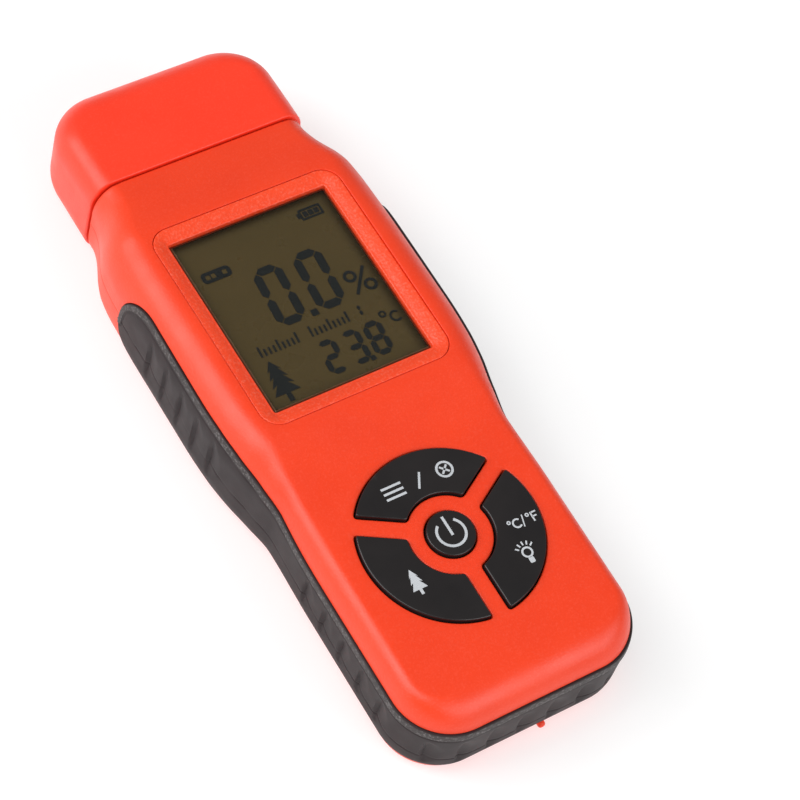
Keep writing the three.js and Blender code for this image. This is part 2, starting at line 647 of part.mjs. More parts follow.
function capForm(grow, y0) {
  const frontOfCap = through(CAP_FRONT_Z);
  const { halfW, y1, cornerR, bottom } = CAP;
  const outline = [y0, 60, y1 - cornerR - 1].map((y) => ({ x: halfW + grow, y, normal: [1, 0] }));
  const arcSteps = 7;
  for (let i = 0; i <= arcSteps; i += 1) {
    const turn = (i / arcSteps) * (Math.PI / 2);
    const normal = [Math.cos(turn), Math.sin(turn)];
    outline.push({
      x: halfW - cornerR + (cornerR + grow) * normal[0],
      y: y1 - cornerR + (cornerR + grow) * normal[1],
      normal,
    });
  }
  const halves = [];
  const steps = 5;
  for (const side of [-1, 1]) {
    for (let step = 0; step <= steps; step += 1) {
      const turn = (side < 0 ? 1 - step / steps : step / steps) * (Math.PI / 2);
      halves.push(outline.map((point) => {
        const end = point.normal[1] ** 2;
        const endRound = side < 0 ? CAP_BACK_END_ROUND : CAP_ROUND;
        const inset = (CAP_SIDE_ROUND * (1 - end) + endRound * end + 0.5 * grow) * (1 - Math.cos(turn));
        const drop = (CAP_ROUND + 0.5 * grow) * (1 - Math.sin(turn));
        const y = point.y - inset * point.normal[1];
        const z = side < 0 ? bottom - grow + drop : frontOfCap(y) + grow - drop;
        return [point.x - inset * point.normal[0], y, z];
      }));
    }
  }
  return ladder(halves);
}

const cap = () => cut(capForm(0, CAP.y0), capForm(-CAP.wall, CAP.y0 - 4));

// ---------------------------------------------------------------- screws

function caseScrew([x, y]) {
  const head = rodZ(SCREW_HEAD_R, x, y, SCREW_HEAD_Z[0], SCREW_HEAD_Z[1], 16);
  const shank = rodZ(SCREW_R, x, y, SCREW_HEAD_Z[1] - 0.5, SCREW_TIP_Z, 12);
  const { halfL, halfW, depth } = SLOT;
  const slotZ = [SCREW_HEAD_Z[0] - 1, SCREW_HEAD_Z[0] + depth];
  const slots = [
    box(x - halfL, x + halfL, y - halfW, y + halfW, ...slotZ),
    box(x - halfW, x + halfW, y - halfL, y + halfL, ...slotZ),
  ];
  return cut(join(head, shank), ...slots);
}

// ---------------------------------------------------------------- assembly

const meter = new THREE.Group();

function add(name, manifold, material, parent = meter) {
  const mesh = new THREE.Mesh(geometryOf(manifold), material);
  mesh.name = name;
  parent.add(mesh);
}

add('front_cover', frontCover(), RED);
add('back_cover', backCover(), RED);
add('grip_band', gripBand(), RUBBER);

const display = new THREE.Group();
display.rotation.x = DISPLAY_TILT;
display.position.set(0, DISPLAY_Y, DISPLAY_Z);
meter.add(display);
add('display_bezel', displayBezel(), RED, display);
add('display_lens', displayLens(), CLEAR, display);
add('lcd_panel', lcdPanel(), LCD, display);
add('lcd_backlight', lcdBacklight(), BACKLIGHT, display);
add('lcd_connector_upper', elastomerStrip(1), ELASTOMER);
add('lcd_connector_lower', elastomerStrip(-1), ELASTOMER);

for (const key of KEYS) {
  add(`${key.name}_button`, keyCap(key), KEY);
  add(`${key.name}_switch`, switchBody(key), BLACK_PART);
  add(`${key.name}_switch_plunger`, switchPlunger(key), BLACK_PART);
}

add('circuit_board', circuitBoard(), BOARD);
add('measuring_chip', measuringChip(), BLACK_PART);
add('buzzer', buzzer(), BLACK_PART);

add('battery_door', batteryDoor(), RED);
[['left', -1], ['middle', 0], ['right', 1]].forEach(([side, column]) => {
  add(`battery_cell_${side}`, batteryCell(column), CELL);
});
add('battery_contact_upper', contactStrip(1), STEEL);
add('battery_contact_lower', contactStrip(-1), STEEL);

add('pin_block', pinBlock(), RED);
[['left', -1], ['right', 1]].forEach(([name, side]) => {
  add(`pin_${name}`, pin(side), CHROME);
  add(`pin_insert_${name}`, pinInsert(side), BRASS);
});
add('cap', cap(), RED);

['lower_left', 'lower_right', 'upper_left', 'upper_right'].forEach((place, i) => {
  add(`case_screw_${place}`, caseScrew(SCREW_PLACES[i]), STEEL);
});

export default meter;
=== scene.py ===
# A two-pin moisture meter with its cap on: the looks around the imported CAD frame.
# Lengths are millimetres until a mesh is made. The axes and the origin are the frame's.
import math

import bmesh
import bpy
import numpy as np
from mathutils import Matrix, Vector
from mathutils.geometry import delaunay_2d_cdt


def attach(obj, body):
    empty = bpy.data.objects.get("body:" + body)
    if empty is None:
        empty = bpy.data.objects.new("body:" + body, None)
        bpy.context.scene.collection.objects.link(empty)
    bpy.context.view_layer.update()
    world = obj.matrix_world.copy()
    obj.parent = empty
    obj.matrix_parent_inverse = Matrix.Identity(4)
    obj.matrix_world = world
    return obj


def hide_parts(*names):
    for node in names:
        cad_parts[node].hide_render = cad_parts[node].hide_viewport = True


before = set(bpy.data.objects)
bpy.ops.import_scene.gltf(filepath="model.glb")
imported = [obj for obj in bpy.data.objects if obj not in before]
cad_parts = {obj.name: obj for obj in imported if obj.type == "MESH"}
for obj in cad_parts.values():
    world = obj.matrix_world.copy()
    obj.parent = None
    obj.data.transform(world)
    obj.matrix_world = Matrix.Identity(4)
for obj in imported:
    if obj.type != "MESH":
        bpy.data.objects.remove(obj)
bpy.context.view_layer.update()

MM = 0.001
PI = math.pi
WELD = 0.002                        # points closer than this are one point

# ---------------------------------------------------------------- driving dimensions

GAP = 0.3
SKIN = 1.6                          # wall of the mouldings as they are seen
SEAM_Z = 11.5
SEAM_GAP = 0.06                     # hairline between the two covers, as it shows
EDGE_R = 0.14                       # rounding of the covers' free edges
BOTTOM_Y = -78.4
MOUTH_Y = 54.9
CORNER_R = 12.0
HALF_WIDTH = [
    (-90, 26.3), (-40, 26.3), (-24, 26.0), (-17, 27.1), (-10, 28.4), (-4, 29.1), (4, 29.4), (24, 29.4),
    (36, 29.2), (41, 28.7), (44, 27.8), (47, 26.4), (50, 25.1), (53, 24.4), (60, 24.3),
]
FRONT_Z = [(-90, 24.2), (-25, 24.2), (-17, 25.4), (-10, 26.8), (40, 25.56), (49, 23.9), (60, 22.2)]
ROUND_IN = [(-90, 3.65), (-24, 3.8), (-10, 6.8), (38, 7.2), (47, 5.6), (60, 4.6)]
ROUND_DOWN = [(-90, 7.9), (-24, 7.9), (-10, 9.8), (38, 10.0), (60, 7.2)]
END_ROUND_IN = 7.3
BACK_ROUND_IN = 4.65
BACK_ROUND_DOWN = 7.4

BAND_PROUD = 0.5
BAND_SUNK = 1.3
BAND_HANDLE_Z = (5.4, 18.7)
BAND_HEAD_Z = (3.6, 22.1)
BAND_TIP_Y = 33.1
BAND_CLEAR = 0.08

RING_Y = -42.9
RING_R = 18.6
RING_INNER_R = 8.8
POWER_R = 4.9
SPOKE = 4.2
KEY_TOP_Z = 24.9
KEY_BOTTOM_Z = 20.9
KEY_CORNER = 0.5

BEZEL = (42.9, 49.4, 4.2)
WINDOW = (36.3, 42.8, 0.5)
DISPLAY_Y = 15.3
DISPLAY_Z = 26.15
DISPLAY_TILT = -math.atan2(1.24, 50)
DISH = 0.85
LCD_TOP = -2.8
LENS_SEAT = -2.5                    # bottom of the bezel's window wall
BEZEL_SEAM = 0.12
BEZEL_FOOT = -4.6                   # underside of the display frame
BEZEL_WALL = 1.4

DOOR_HALF_W = 17.8
DOOR_TOP = 5.0
HINGE_Y = -26.0
HINGE_Z = 1.0
TAB_X = 4.0

CAP = {"half_w": 24.8, "y0": 55.3, "y1": 79.0, "corner": 11.2, "bottom": 0.4, "wall": 1.8}
CAP_FRONT_Z = [(50, 23.35), (56, 23.3), (72, 22.6), (82, 22.2)]
CAP_ROUND = 6.5
CAP_BACK_END = 6.7
CAP_SIDE = 5.0

PIN_X = 11.0
PIN_Z = 11.5
SCREWS = {
    "lower_left": (-19.2, -19.5), "lower_right": (19.2, -19.5),
    "upper_left": (-19.2, 43.5), "upper_right": (19.2, 43.5),
}
SCREW_HOLE_R = 2.45


# ---------------------------------------------------------------- mesh helpers

def through(points):
    """A smooth function of one value through (position, value) points, with no overshoot."""
    at = np.array([p[0] for p in points], float)
    value = np.array([p[1] for p in points], float)
    rate = np.diff(value) / np.diff(at)
    slope = np.zeros(len(at))
    for i in range(1, len(at) - 1):
        before, after = rate[i - 1], rate[i]
        slope[i] = 0 if before * after <= 0 else 2 * before * after / (before + after)

    def read(x):
        x = np.clip(np.asarray(x, float), at[0], at[-1])
        i = np.clip(np.searchsorted(at, x, side="right") - 1, 0, len(at) - 2)
        span = at[i + 1] - at[i]
        t = (x - at[i]) / span
        bend = (1 - t) ** 2 * t * slope[i] * span - (1 - t) * t ** 2 * slope[i + 1] * span
        return value[i] + (value[i + 1] - value[i]) * (3 * t ** 2 - 2 * t ** 3) + bend

    return read


class Build:
    """Points and faces of one piece, welded and given outward normals when it becomes an object."""

    def __init__(self):
        self.points = []
        self.faces = []
        self.marks = []
        self.count = 0

    def add(self, points, faces, mark=0):
        points = np.asarray(points, float).reshape(-1, 3)
        self.points.append(points)
        self.faces += [[self.count + i for i in face] for face in faces]
        self.marks += [mark] * len(faces)
        self.count += len(points)

    def grid(self, rows, closed=False, mark=0):
        """Quads between rows of points; closed joins each row's end to its start."""
        rows = np.asarray(rows, float)
        high, wide = rows.shape[:2]
        faces = []
        for i in range(high - 1):
            for j in range(wide if closed else wide - 1):
                k = (j + 1) % wide
                faces.append([i * wide + j, i * wide + k, (i + 1) * wide + k, (i + 1) * wide + j])
        self.add(rows.reshape(-1, 3), faces, mark)

    def fill(self, loop, mark=0):
        """One flat face over a loop that bulges outwards everywhere."""
        self.add(loop, [list(range(len(loop)))], mark)

    def object(self, name, materials, body, slot, replaces=(), sharp=32, place=None):
        mesh = bpy.data.meshes.new(name)
        mesh.from_pydata(np.concatenate(self.points).tolist(), [], self.faces)
        for material in materials:
            mesh.materials.append(material)
        mesh.polygons.foreach_set("material_index", self.marks)
        work = bmesh.new()
        work.from_mesh(mesh)
        bmesh.ops.remove_doubles(work, verts=work.verts, dist=WELD)
        bmesh.ops.dissolve_degenerate(work, edges=work.edges, dist=WELD / 10)
        loose = [v for v in work.verts if not v.link_faces]
        bmesh.ops.delete(work, geom=loose, context="VERTS")
        bmesh.ops.recalc_face_normals(work, faces=work.faces)
        if place is not None:
            bmesh.ops.transform(work, matrix=place, verts=work.verts)
        bmesh.ops.scale(work, vec=(MM, MM, MM), verts=work.verts)
        work.to_mesh(mesh)
        work.free()
        mesh.shade_smooth()
        mesh.set_sharp_from_angle(angle=math.radians(sharp))
        piece = bpy.data.objects.new(name, mesh)
        bpy.context.scene.collection.objects.link(piece)
        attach(piece, body)
        if replaces:
            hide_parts(*replaces)
        return piece


def inside(points, loop):
    """Which points lie inside a loop, by counting crossings."""
    x, y = points[:, 0][:, None], points[:, 1][:, None]
    x0, y0 = loop[:, 0][None], loop[:, 1][None]
    x1, y1 = np.roll(loop[:, 0], -1)[None], np.roll(loop[:, 1], -1)[None]
    rise = np.where(y1 == y0, 1e-12, y1 - y0)
    crosses = ((y0 > y) != (y1 > y)) & (x < x0 + (y - y0) / rise * (x1 - x0))
    return crosses.sum(1) % 2 == 1


def distance(points, line, closed=True):
    """Shortest distance from each point to a line of points."""
    a = line if closed else line[:-1]
    b = np.roll(line, -1, axis=0) if closed else line[1:]
    best = np.full(len(points), 1e9)
    for p, q in zip(a, b):
        along = q - p
        t = np.clip(((points - p) @ along) / max(along @ along, 1e-12), 0, 1)
        best = np.minimum(best, np.hypot(*(points - p - t[:, None] * along).T))
    return best


def triangles(loops, spacing):
    """Triangles inside the first loop and outside the others, with a grid of points between them."""
    outer = loops[0]
    xs = np.arange(outer[:, 0].min() + spacing[0] / 2, outer[:, 0].max(), spacing[0])
    ys = np.arange(outer[:, 1].min() + spacing[1] / 2, outer[:, 1].max(), spacing[1])
    grid = np.array(np.meshgrid(xs, ys)).reshape(2, -1).T
    keep = inside(grid, outer)
    for hole in loops[1:]:
        keep &= ~inside(grid, hole)
    grid = grid[keep]
    for loop in loops:
        grid = grid[distance(grid, loop) > 0.45 * min(spacing)]
    points = [Vector(p) for p in np.concatenate([*loops, grid])]
    edges, start = [], 0
    for loop in loops:
        n = len(loop)
        edges += [(start + i, start + (i + 1) % n) for i in range(n)]
        start += n
    found = delaunay_2d_cdt(points, edges, [], 0, 1e-7)
    flat = np.array([(p.x, p.y) for p in found[0]])
    faces = np.array([f for f in found[2] if len(f) == 3])
    middle = flat[faces].mean(1)
    keep = inside(middle, outer)
    for hole in loops[1:]:
        keep &= ~inside(middle, hole)
    return flat, faces[keep].tolist()


def outward(loop, closed=True):
    """Mitred unit offsets to the right of a line's direction: outwards for an anticlockwise loop."""
    if closed:
        before, after = loop - np.roll(loop, 1, axis=0), np.roll(loop, -1, axis=0) - loop
    else:
        step = np.diff(loop, axis=0)
        before, after = np.vstack([step[:1], step]), np.vstack([step, step[-1:]])
    before = before / np.linalg.norm(before, axis=1)[:, None]
    after = after / np.linalg.norm(after, axis=1)[:, None]
    n0 = np.stack([before[:, 1], -before[:, 0]], 1)
    n1 = np.stack([after[:, 1], -after[:, 0]], 1)
    return (n0 + n1) / (1 + (n0 * n1).sum(1))[:, None].clip(0.25)


def roll_over(radius, depth, steps=4):
    """(offset from an edge, height) down over a rounded edge, down a wall, and back under it."""
    turns = np.linspace(0, PI / 2, steps + 1)
    rows = [(radius * (1 - math.sin(a)), -radius * (1 - math.cos(a))) for a in turns]
    return rows + [(0, -depth), (radius, -depth)]


def rounded_rect(w, h, r, per_corner=10, per_side=1):
    """Anticlockwise loop of a rounded rectangle about the origin."""
    x, y = w / 2 - r, h / 2 - r
    centres = [(x, y), (-x, y), (-x, -y), (x, -y)]
    loop = []
    for quarter, (cx, cy) in enumerate(centres):
        for i in range(per_corner + 1):
            a = (quarter + i / per_corner) * PI / 2
            loop.append((cx + r * math.cos(a), cy + r * math.sin(a)))
    return densify(np.array(loop), per_side)


def densify(loop, parts):
    """More points along a loop's long stretches."""
    if parts <= 1:
        return loop
    made = []
    after = np.roll(loop, -1, axis=0)
    long = np.linalg.norm(after - loop, axis=1)
    for p, q, length in zip(loop, after, long):
        n = parts if length > 4 * np.median(long) else 1
        made += [p + (q - p) * i / n for i in range(n)]
    return np.array(made)


def circle(r, cx=0, cy=0, n=48):
    """Anticlockwise loop of n points."""
    a = np.arange(n) / n * 2 * PI
    return np.stack([cx + r * np.cos(a), cy + r * np.sin(a)], 1)


def at_height(loop, z):
    """A flat loop's points in space, all at one height."""
    return np.column_stack([loop, np.full(len(loop), float(z))])


def turned(profile, n=48):
    """Rows of points from (radius, height) pairs turned about Z."""
    a = np.arange(n) / n * 2 * PI
    return np.array([np.stack([r * np.cos(a), r * np.sin(a), np.full(n, z)], 1) for r, z in profile])


def tube(path, radius, n=10):
    """Rows of points of a round wire along a path."""
    path = np.asarray(path, float)
    ahead = np.gradient(path, axis=0)
    ahead /= np.linalg.norm(ahead, axis=1)[:, None]
    side = np.cross(ahead[0], [0.3, 0.5, 0.8])
    side /= np.linalg.norm(side)
    rows = []
    for p, t in zip(path, ahead):
        side = side - t * (side @ t)
        side /= np.linalg.norm(side)
        up = np.cross(t, side)
        a = np.arange(n) / n * 2 * PI
        rows.append(p + radius * (np.cos(a)[:, None] * side + np.sin(a)[:, None] * up))
    return np.array(rows)


def bezier(p0, p1, p2, p3, n):
    """A cubic curve of n steps."""
    t = np.linspace(0, 1, n + 1)[:, None]
    p0, p1, p2, p3 = (np.array(p, float) for p in (p0, p1, p2, p3))
    return (1 - t) ** 3 * p0 + 3 * (1 - t) ** 2 * t * p1 + 3 * (1 - t) * t ** 2 * p2 + t ** 3 * p3


def spread(line, step):
    """The same line with points about one step apart."""
    length = np.concatenate([[0], np.cumsum(np.linalg.norm(np.diff(line, axis=0), axis=1))])
    at = np.linspace(0, length[-1], max(2, int(round(length[-1] / step)) + 1))
    return np.stack([np.interp(at, length, line[:, i]) for i in range(line.shape[1])], 1)


# ---------------------------------------------------------------- housing surface

half_width = through(HALF_WIDTH)
front_z = through(FRONT_Z)
round_in = through(ROUND_IN)
round_down = through(ROUND_DOWN)
CORNER_X = float(half_width(-90)) - CORNER_R
CORNER_Y = BOTTOM_Y + CORNER_R


def outline_table():
    """Right half of the plan outline: distance from the middle of the handle's end, place and normal."""
    rows = [(x, BOTTOM_Y, 0.0, -1.0) for x in np.linspace(0, CORNER_X, 16)[:-1]]
    for a in np.linspace(0, PI / 2, 61)[:-1]:
        nx, ny = math.sin(a), -math.cos(a)
        rows.append((CORNER_X + CORNER_R * nx, CORNER_Y + CORNER_R * ny, nx, ny))
    for y in np.linspace(CORNER_Y, MOUTH_Y, 500):
        lean = float(half_width(y + 0.5) - half_width(y - 0.5))
        size = math.hypot(1, lean)
        rows.append((float(half_width(y)), y, 1 / size, -lean / size))
    rows = np.array(rows)
    along = np.concatenate([[0], np.cumsum(np.hypot(*np.diff(rows[:, :2], axis=0).T))])
    return along, rows


OUT_S, OUT_ROWS = outline_table()
S_MOUTH = float(OUT_S[-1])


def s_at_y(y):
    """Outline distance of a place on the straight side."""
    side = OUT_ROWS[:, 1] >= CORNER_Y
    return np.interp(y, OUT_ROWS[side, 1], OUT_S[side])


def station(s):
    """Place and outward normal at outline distance s, and how far it belongs to the handle's end."""
    s = np.asarray(s, float)
    x, y, nx, ny = (np.interp(np.abs(s), OUT_S, OUT_ROWS[:, i]) for i in range(4))
    size = np.hypot(nx, ny)
    turn = np.where(s < 0, -1.0, 1.0)
    end = np.where(y < -62, (ny / size) ** 2, 0)
    return x * turn, y, nx / size * turn, ny / size, end


QUARTER = np.linspace(PI / 2, 0, 33)


def rounding(s, side):
    """Reach and drop of the rounding at outline distance s, and its arc lengths from the face's edge."""
    y, end = station(s)[1], station(s)[4]
    if side > 0:
        reach = round_in(y) * (1 - end) + END_ROUND_IN * end
        drop = round_down(y)
    else:
        reach = np.full(y.shape, BACK_ROUND_IN)
        drop = np.full(y.shape, BACK_ROUND_DOWN)
    steps = np.hypot(
        np.diff(reach[..., None] * (1 - np.cos(QUARTER)), axis=-1),
        np.diff(drop[..., None] * (1 - np.sin(QUARTER)), axis=-1),
    )
    arc = np.concatenate([np.zeros(steps.shape[:-1] + (1,)), np.cumsum(steps, -1)], -1)
    return reach, drop, arc


def on_side(s, turn, over, g, side):
    """Point at an angle of the rounding, then a distance down the straight side, lifted by g."""
    x, y, nx, ny = station(s)[:4]
    reach, drop = rounding(s, side)[:2]
    inset = reach * (1 - np.cos(turn))
    px, py = x - inset * nx, y - inset * ny
    fall = drop * (1 - np.sin(turn)) + over
    level, up = np.cos(turn) / reach, np.sin(turn) / drop
    size = np.hypot(level, up)
    level, up = level / size, up / size
    z = front_z(py) - fall if side > 0 else fall
    return np.stack([px + g * level * nx, py + g * level * ny, z + side * g * up], -1)


def side_point(s, v, g, side):
    """Point on the flank at outline distance s and distance v from the face's edge, lifted by g."""
    s, v, g = (np.asarray(a, float) for a in np.broadcast_arrays(s, v, g))
    arc = rounding(s, side)[2]
    k = np.clip((arc <= v[..., None]).sum(-1) - 1, 0, len(QUARTER) - 2)
    low = np.take_along_axis(arc, k[..., None], -1)[..., 0]
    high = np.take_along_axis(arc, k[..., None] + 1, -1)[..., 0]
    f = np.clip((v - low) / (high - low), 0, 1)
    turn = QUARTER[k] + f * (QUARTER[k + 1] - QUARTER[k])
    return on_side(s, turn, np.maximum(v - arc[..., -1], 0), g, side)


def side_length(s, z, side):
    """Distance v from the face's edge down to height z."""
    s, z = (np.asarray(a, float) for a in np.broadcast_arrays(s, z))
    drop, arc = rounding(s, side)[1:]
    fall = front_z(station(s)[1]) - z if side > 0 else z
    turn = np.arcsin(np.clip(1 - fall / drop, 0, 1))
    share = (PI / 2 - turn) / (PI / 2) * (len(QUARTER) - 1)
    k = np.clip(share.astype(int), 0, len(QUARTER) - 2)
    low = np.take_along_axis(arc, k[..., None], -1)[..., 0]
    high = np.take_along_axis(arc, k[..., None] + 1, -1)[..., 0]
    return low + (high - low) * (share - k) + np.maximum(fall - drop, 0)


def wall_point(s, z, g):
    """Point on the housing's side at height z, lifted by g: front rounding, straight, or back rounding."""
    s, z, g = (np.asarray(a, float) for a in np.broadcast_arrays(s, z, g))
    front = side_point(s, side_length(s, z, 1), g, 1)
    back = side_point(s, side_length(s, z, -1), g, -1)
    return np.where((z > 0.5 * (BACK_ROUND_DOWN + SEAM_Z))[..., None], front, back)


# ---------------------------------------------------------------- edges of the rubber band

def band_side(clear):
    """(y, z) lines of the band's upper and lower edge along the side, both from the handle to the tip."""
    low = [BAND_HANDLE_Z[0] - clear, BAND_HEAD_Z[0] - clear]
    high = [BAND_HANDLE_Z[1] + clear, BAND_HEAD_Z[1] + clear]
    tip = BAND_TIP_Y + clear
    lower = np.vstack([
        bezier((-30, low[0]), (-20, low[0]), (-14, low[1]), (0, low[1]), 60),
        bezier((tip - 7, low[1]), (tip - 3, low[1]), (tip, low[1] + 3), (tip, low[1] + 7), 60),
    ])
    upper = np.vstack([
        bezier((-34, high[0]), (-22, high[0]), (-17, high[1]), (-2, high[1]), 60),
        bezier((tip - 10, high[1]), (tip - 2, high[1]), (tip, low[1] + 13), (tip, low[1] + 7), 60),
    ])
    return upper, lower


def under_rubber(s, z):
    """Height on the housing's own surface below a place at height z on the rubber's proud surface."""
    return 2 * z - wall_point(s, z, BAND_PROUD)[..., 2]


def half_edge(line, z_stop):
    """(s, z) line from the middle of the handle's end along a band edge, up to the housing's seam."""
    start = np.array([[0.0, line[0, 1]]])
    side = np.column_stack([s_at_y(line[:, 0]), line[:, 1]])
    beyond = side[:, 1] < z_stop if line[-1, 1] < line[0, 1] else side[:, 1] > z_stop
    beyond &= line[:, 0] > 0
    if beyond.any():
        k = int(np.argmax(beyond))
        share = (z_stop - side[k - 1, 1]) / (side[k, 1] - side[k - 1, 1])
        side = np.vstack([side[:k], side[k - 1] + share * (side[k] - side[k - 1])])
    line = np.vstack([spread(np.vstack([start, side[:1]]), 1.0)[:-1], spread(side, 0.55)])
    kept = np.clip(np.abs(line[:, 1] - z_stop) / 2, 0, 1)
    return np.column_stack([line[:, 0], line[:, 1] + (under_rubber(*line.T) - line[:, 1]) * kept])


# ---------------------------------------------------------------- sheet mouldings

class Chain:
    """A closed edge of a moulding: points on its surfaces, each with a direction into the moulding."""

    def __init__(self):
        self.parts = []

    def add(self, surface, places, inward):
        self.parts.append((surface, np.asarray(places, float), np.asarray(inward, float)))

    def row(self, offset, g):
        return np.concatenate([surface(p[:, 0] + offset * n[:, 0], p[:, 1] + offset * n[:, 1], g)
                               for surface, p, n in self.parts])


def skin_rows(build, chain, radius, depth):
    """The rounded edge of a sheet moulding and the wall below it."""
    build.grid([chain.row(e, g) for e, g in roll_over(radius, depth)], closed=True)


def skin_faces(build, surface, loops, spacing, depth):
    """The outer and inner face of a sheet moulding, inside the first loop and outside the others."""
    flat, faces = triangles(loops, spacing)
    build.add(surface(flat[:, 0], flat[:, 1], 0), faces)
    build.add(surface(flat[:, 0], flat[:, 1], -depth), faces)


def housing_edge(side):
    """Right half of a cover's free edge, as (s, v) from the handle's end or the door to the mouth."""
    upper, lower = band_side(BAND_CLEAR)
    seam = SEAM_Z + side * SEAM_GAP / 2
    line = half_edge(upper if side > 0 else lower, seam)
    last = line[-1]
    tail = spread(np.array([[last[0], seam], [S_MOUTH, seam]]), 1.0)
    # The lower edge's curve ends below the seam: the tail starts right above its end.
    line = np.vstack([line, tail if abs(last[1] - seam) > 0.1 else tail[1:]])
    return np.column_stack([line[:, 0], side_length(line[:, 0], line[:, 1], side)])


def front_surface(x, y, g):
    """Point on the front face, lifted by g."""
    return np.stack(np.broadcast_arrays(x, y, front_z(y) + g), -1)


def flank(side):
    """The surface of the front (1) or back (-1) cover's flank, for a chain."""
    return lambda s, v, g: side_point(s, v, g, side)


def segment_loop(centre_deg, grow, corner):
    """Anticlockwise loop of a ring segment with rounded corners, about the ring's centre."""
    start, stop = math.radians(centre_deg - 60), math.radians(centre_deg + 60)
    half = SPOKE / 2 - grow
    outer, inner = RING_R + grow, RING_INNER_R - grow
    a0, a1 = start + math.asin(half / outer), stop - math.asin(half / outer)
    b0, b1 = start + math.asin(half / inner), stop - math.asin(half / inner)
    arc = lambda r, f, t, n: np.array([(r * math.cos(a), r * math.sin(a)) for a in np.linspace(f, t, n)])
    sides = [arc(outer, a0, a1, 200)]
    sides.append(arc(inner, b1, b0, 120))
    loop = np.vstack([
        spread(sides[0], 0.15)[:-1],
        spread(np.vstack([sides[0][-1:], sides[1][:1]]), 0.15)[:-1],
        spread(sides[1], 0.15)[:-1],
        spread(np.vstack([sides[1][-1:], sides[0][:1]]), 0.15)[:-1],
    ])
    corners = [sides[0][0], sides[0][-1], sides[1][0], sides[1][-1]]
    return round_corners(loop, corners, corner)


def round_corners(loop, corners, radius):
    """Replaces the stretch of a fine loop around each corner by a curve that touches both sides."""
    hits = [int(np.argmin(np.linalg.norm(loop - c, axis=1))) for c in corners]
    n = len(loop)
    step = np.linalg.norm(np.roll(loop, -1, axis=0) - loop, axis=1).mean()
    k = max(1, int(round(radius / step)))
    drop = np.zeros(n, bool)
    made = {}
    for h in hits:
        a, b = loop[(h - k) % n], loop[(h + k) % n]
        c = loop[h]
        # The handles at 0.55 of the way to the corner make the curve close to an arc.
        curve = bezier(a, a + 0.55 * (c - a), b + 0.55 * (c - b), b, 7)
        for i in range(-k, k + 1):
            drop[(h + i) % n] = True
        made[(h - k) % n] = curve
    out = []
    for i in range(n):
        if i in made:
            out += list(made[i])
        elif not drop[i]:
            out.append(loop[i])
    out = np.array(out)
    keep = np.ones(len(out), bool)
    far = np.linalg.norm(np.roll(out, -1, axis=0) - out, axis=1)
    keep[far < 1e-4] = False
    return thin(out[keep], 0.12, 0.5)


def thin(loop, low, high):
    """Drops points of a fine loop where it is straight, keeping them where it turns."""
    out = [loop[0]]
    turn = 0.0
    before = loop[1] - loop[0]
    for i in range(1, len(loop)):
        after = loop[(i + 1) % len(loop)] - loop[i]
        turn += abs(math.atan2(before[0] * after[1] - before[1] * after[0], before @ after))
        gone = np.linalg.norm(loop[i] - out[-1])
        if gone >= high or (turn > 0.12 and gone >= low):
            out.append(loop[i])
            turn = 0.0
        before = after
    if np.linalg.norm(out[-1] - out[0]) < low:
        out.pop()
    return np.array(out)


KEYS = {"mode": 90, "tree": 210, "light": 330}    # middle direction of each ring segment, degrees


def key_loop(name, grow, corner):
    """Outline of a key, or of its opening when it grows by the gap."""
    if name == "power":
        return circle(POWER_R + grow, 0, RING_Y, 72)
    return segment_loop(KEYS[name], grow, corner) + [0, RING_Y]


# ---------------------------------------------------------------- materials

def linear(rgb):
    """sRGB 0 to 255 as the linear colour that a shader takes."""
    part = [c / 255 for c in rgb]
    return [c / 12.92 if c <= 0.04045 else ((c + 0.055) / 1.055) ** 2.4 for c in part] + [1.0]


def lighter(colour, gain, lift):
    """A linear colour made brighter and paler."""
    return [min(1, c * gain + lift) for c in colour[:3]] + [1.0]


GRAIN_DEPTH = 0.04                  # height of a moulding's fine grain


class Nodes:
    """The nodes of one material, made and linked by short calls."""

    def __init__(self, tree):
        self.new, self.link = tree.nodes.new, tree.links.new
        self.main = tree.nodes["Principled BSDF"]

    def fill(self, node, values):
        for socket, value in values.items():
            node.inputs[socket].default_value = value

    def noise(self, scale_mm, detail, vector, rough_value=0.5):
        node = self.new("ShaderNodeTexNoise")
        self.fill(node, {"Scale": 1000 / scale_mm, "Detail": detail, "Roughness": rough_value})
        self.link(vector, node.inputs["Vector"])
        return node.outputs["Fac"]

    def ramp(self, source, low, high, to_low, to_high, kind="LINEAR"):
        """The source between low and high, spread from to_low to to_high."""
        node = self.new("ShaderNodeMapRange")
        node.interpolation_type = kind
        self.fill(node, {"From Min": low, "From Max": high, "To Min": to_low, "To Max": to_high})
        self.link(source, node.inputs["Value"])
        return node.outputs["Result"]

    def combined(self, operation, one, other):
        node = self.new("ShaderNodeMath")
        node.operation = operation
        self.link(one, node.inputs[0])
        self.link(other, node.inputs[1])
        return node.outputs["Value"]

    def towards(self, share, first, second):
        """A colour, or another node's colour, that gives way to a second colour by a share."""
        node = self.new("ShaderNodeMix")
        node.data_type = "RGBA"
        a, b = [socket for socket in node.inputs if socket.type == "RGBA"]
        self.link(share, node.inputs[0])
        if isinstance(first, list):
            a.default_value = first
        else:
            self.link(first, a)
        b.default_value = second
        return [socket for socket in node.outputs if socket.type == "RGBA"][0]


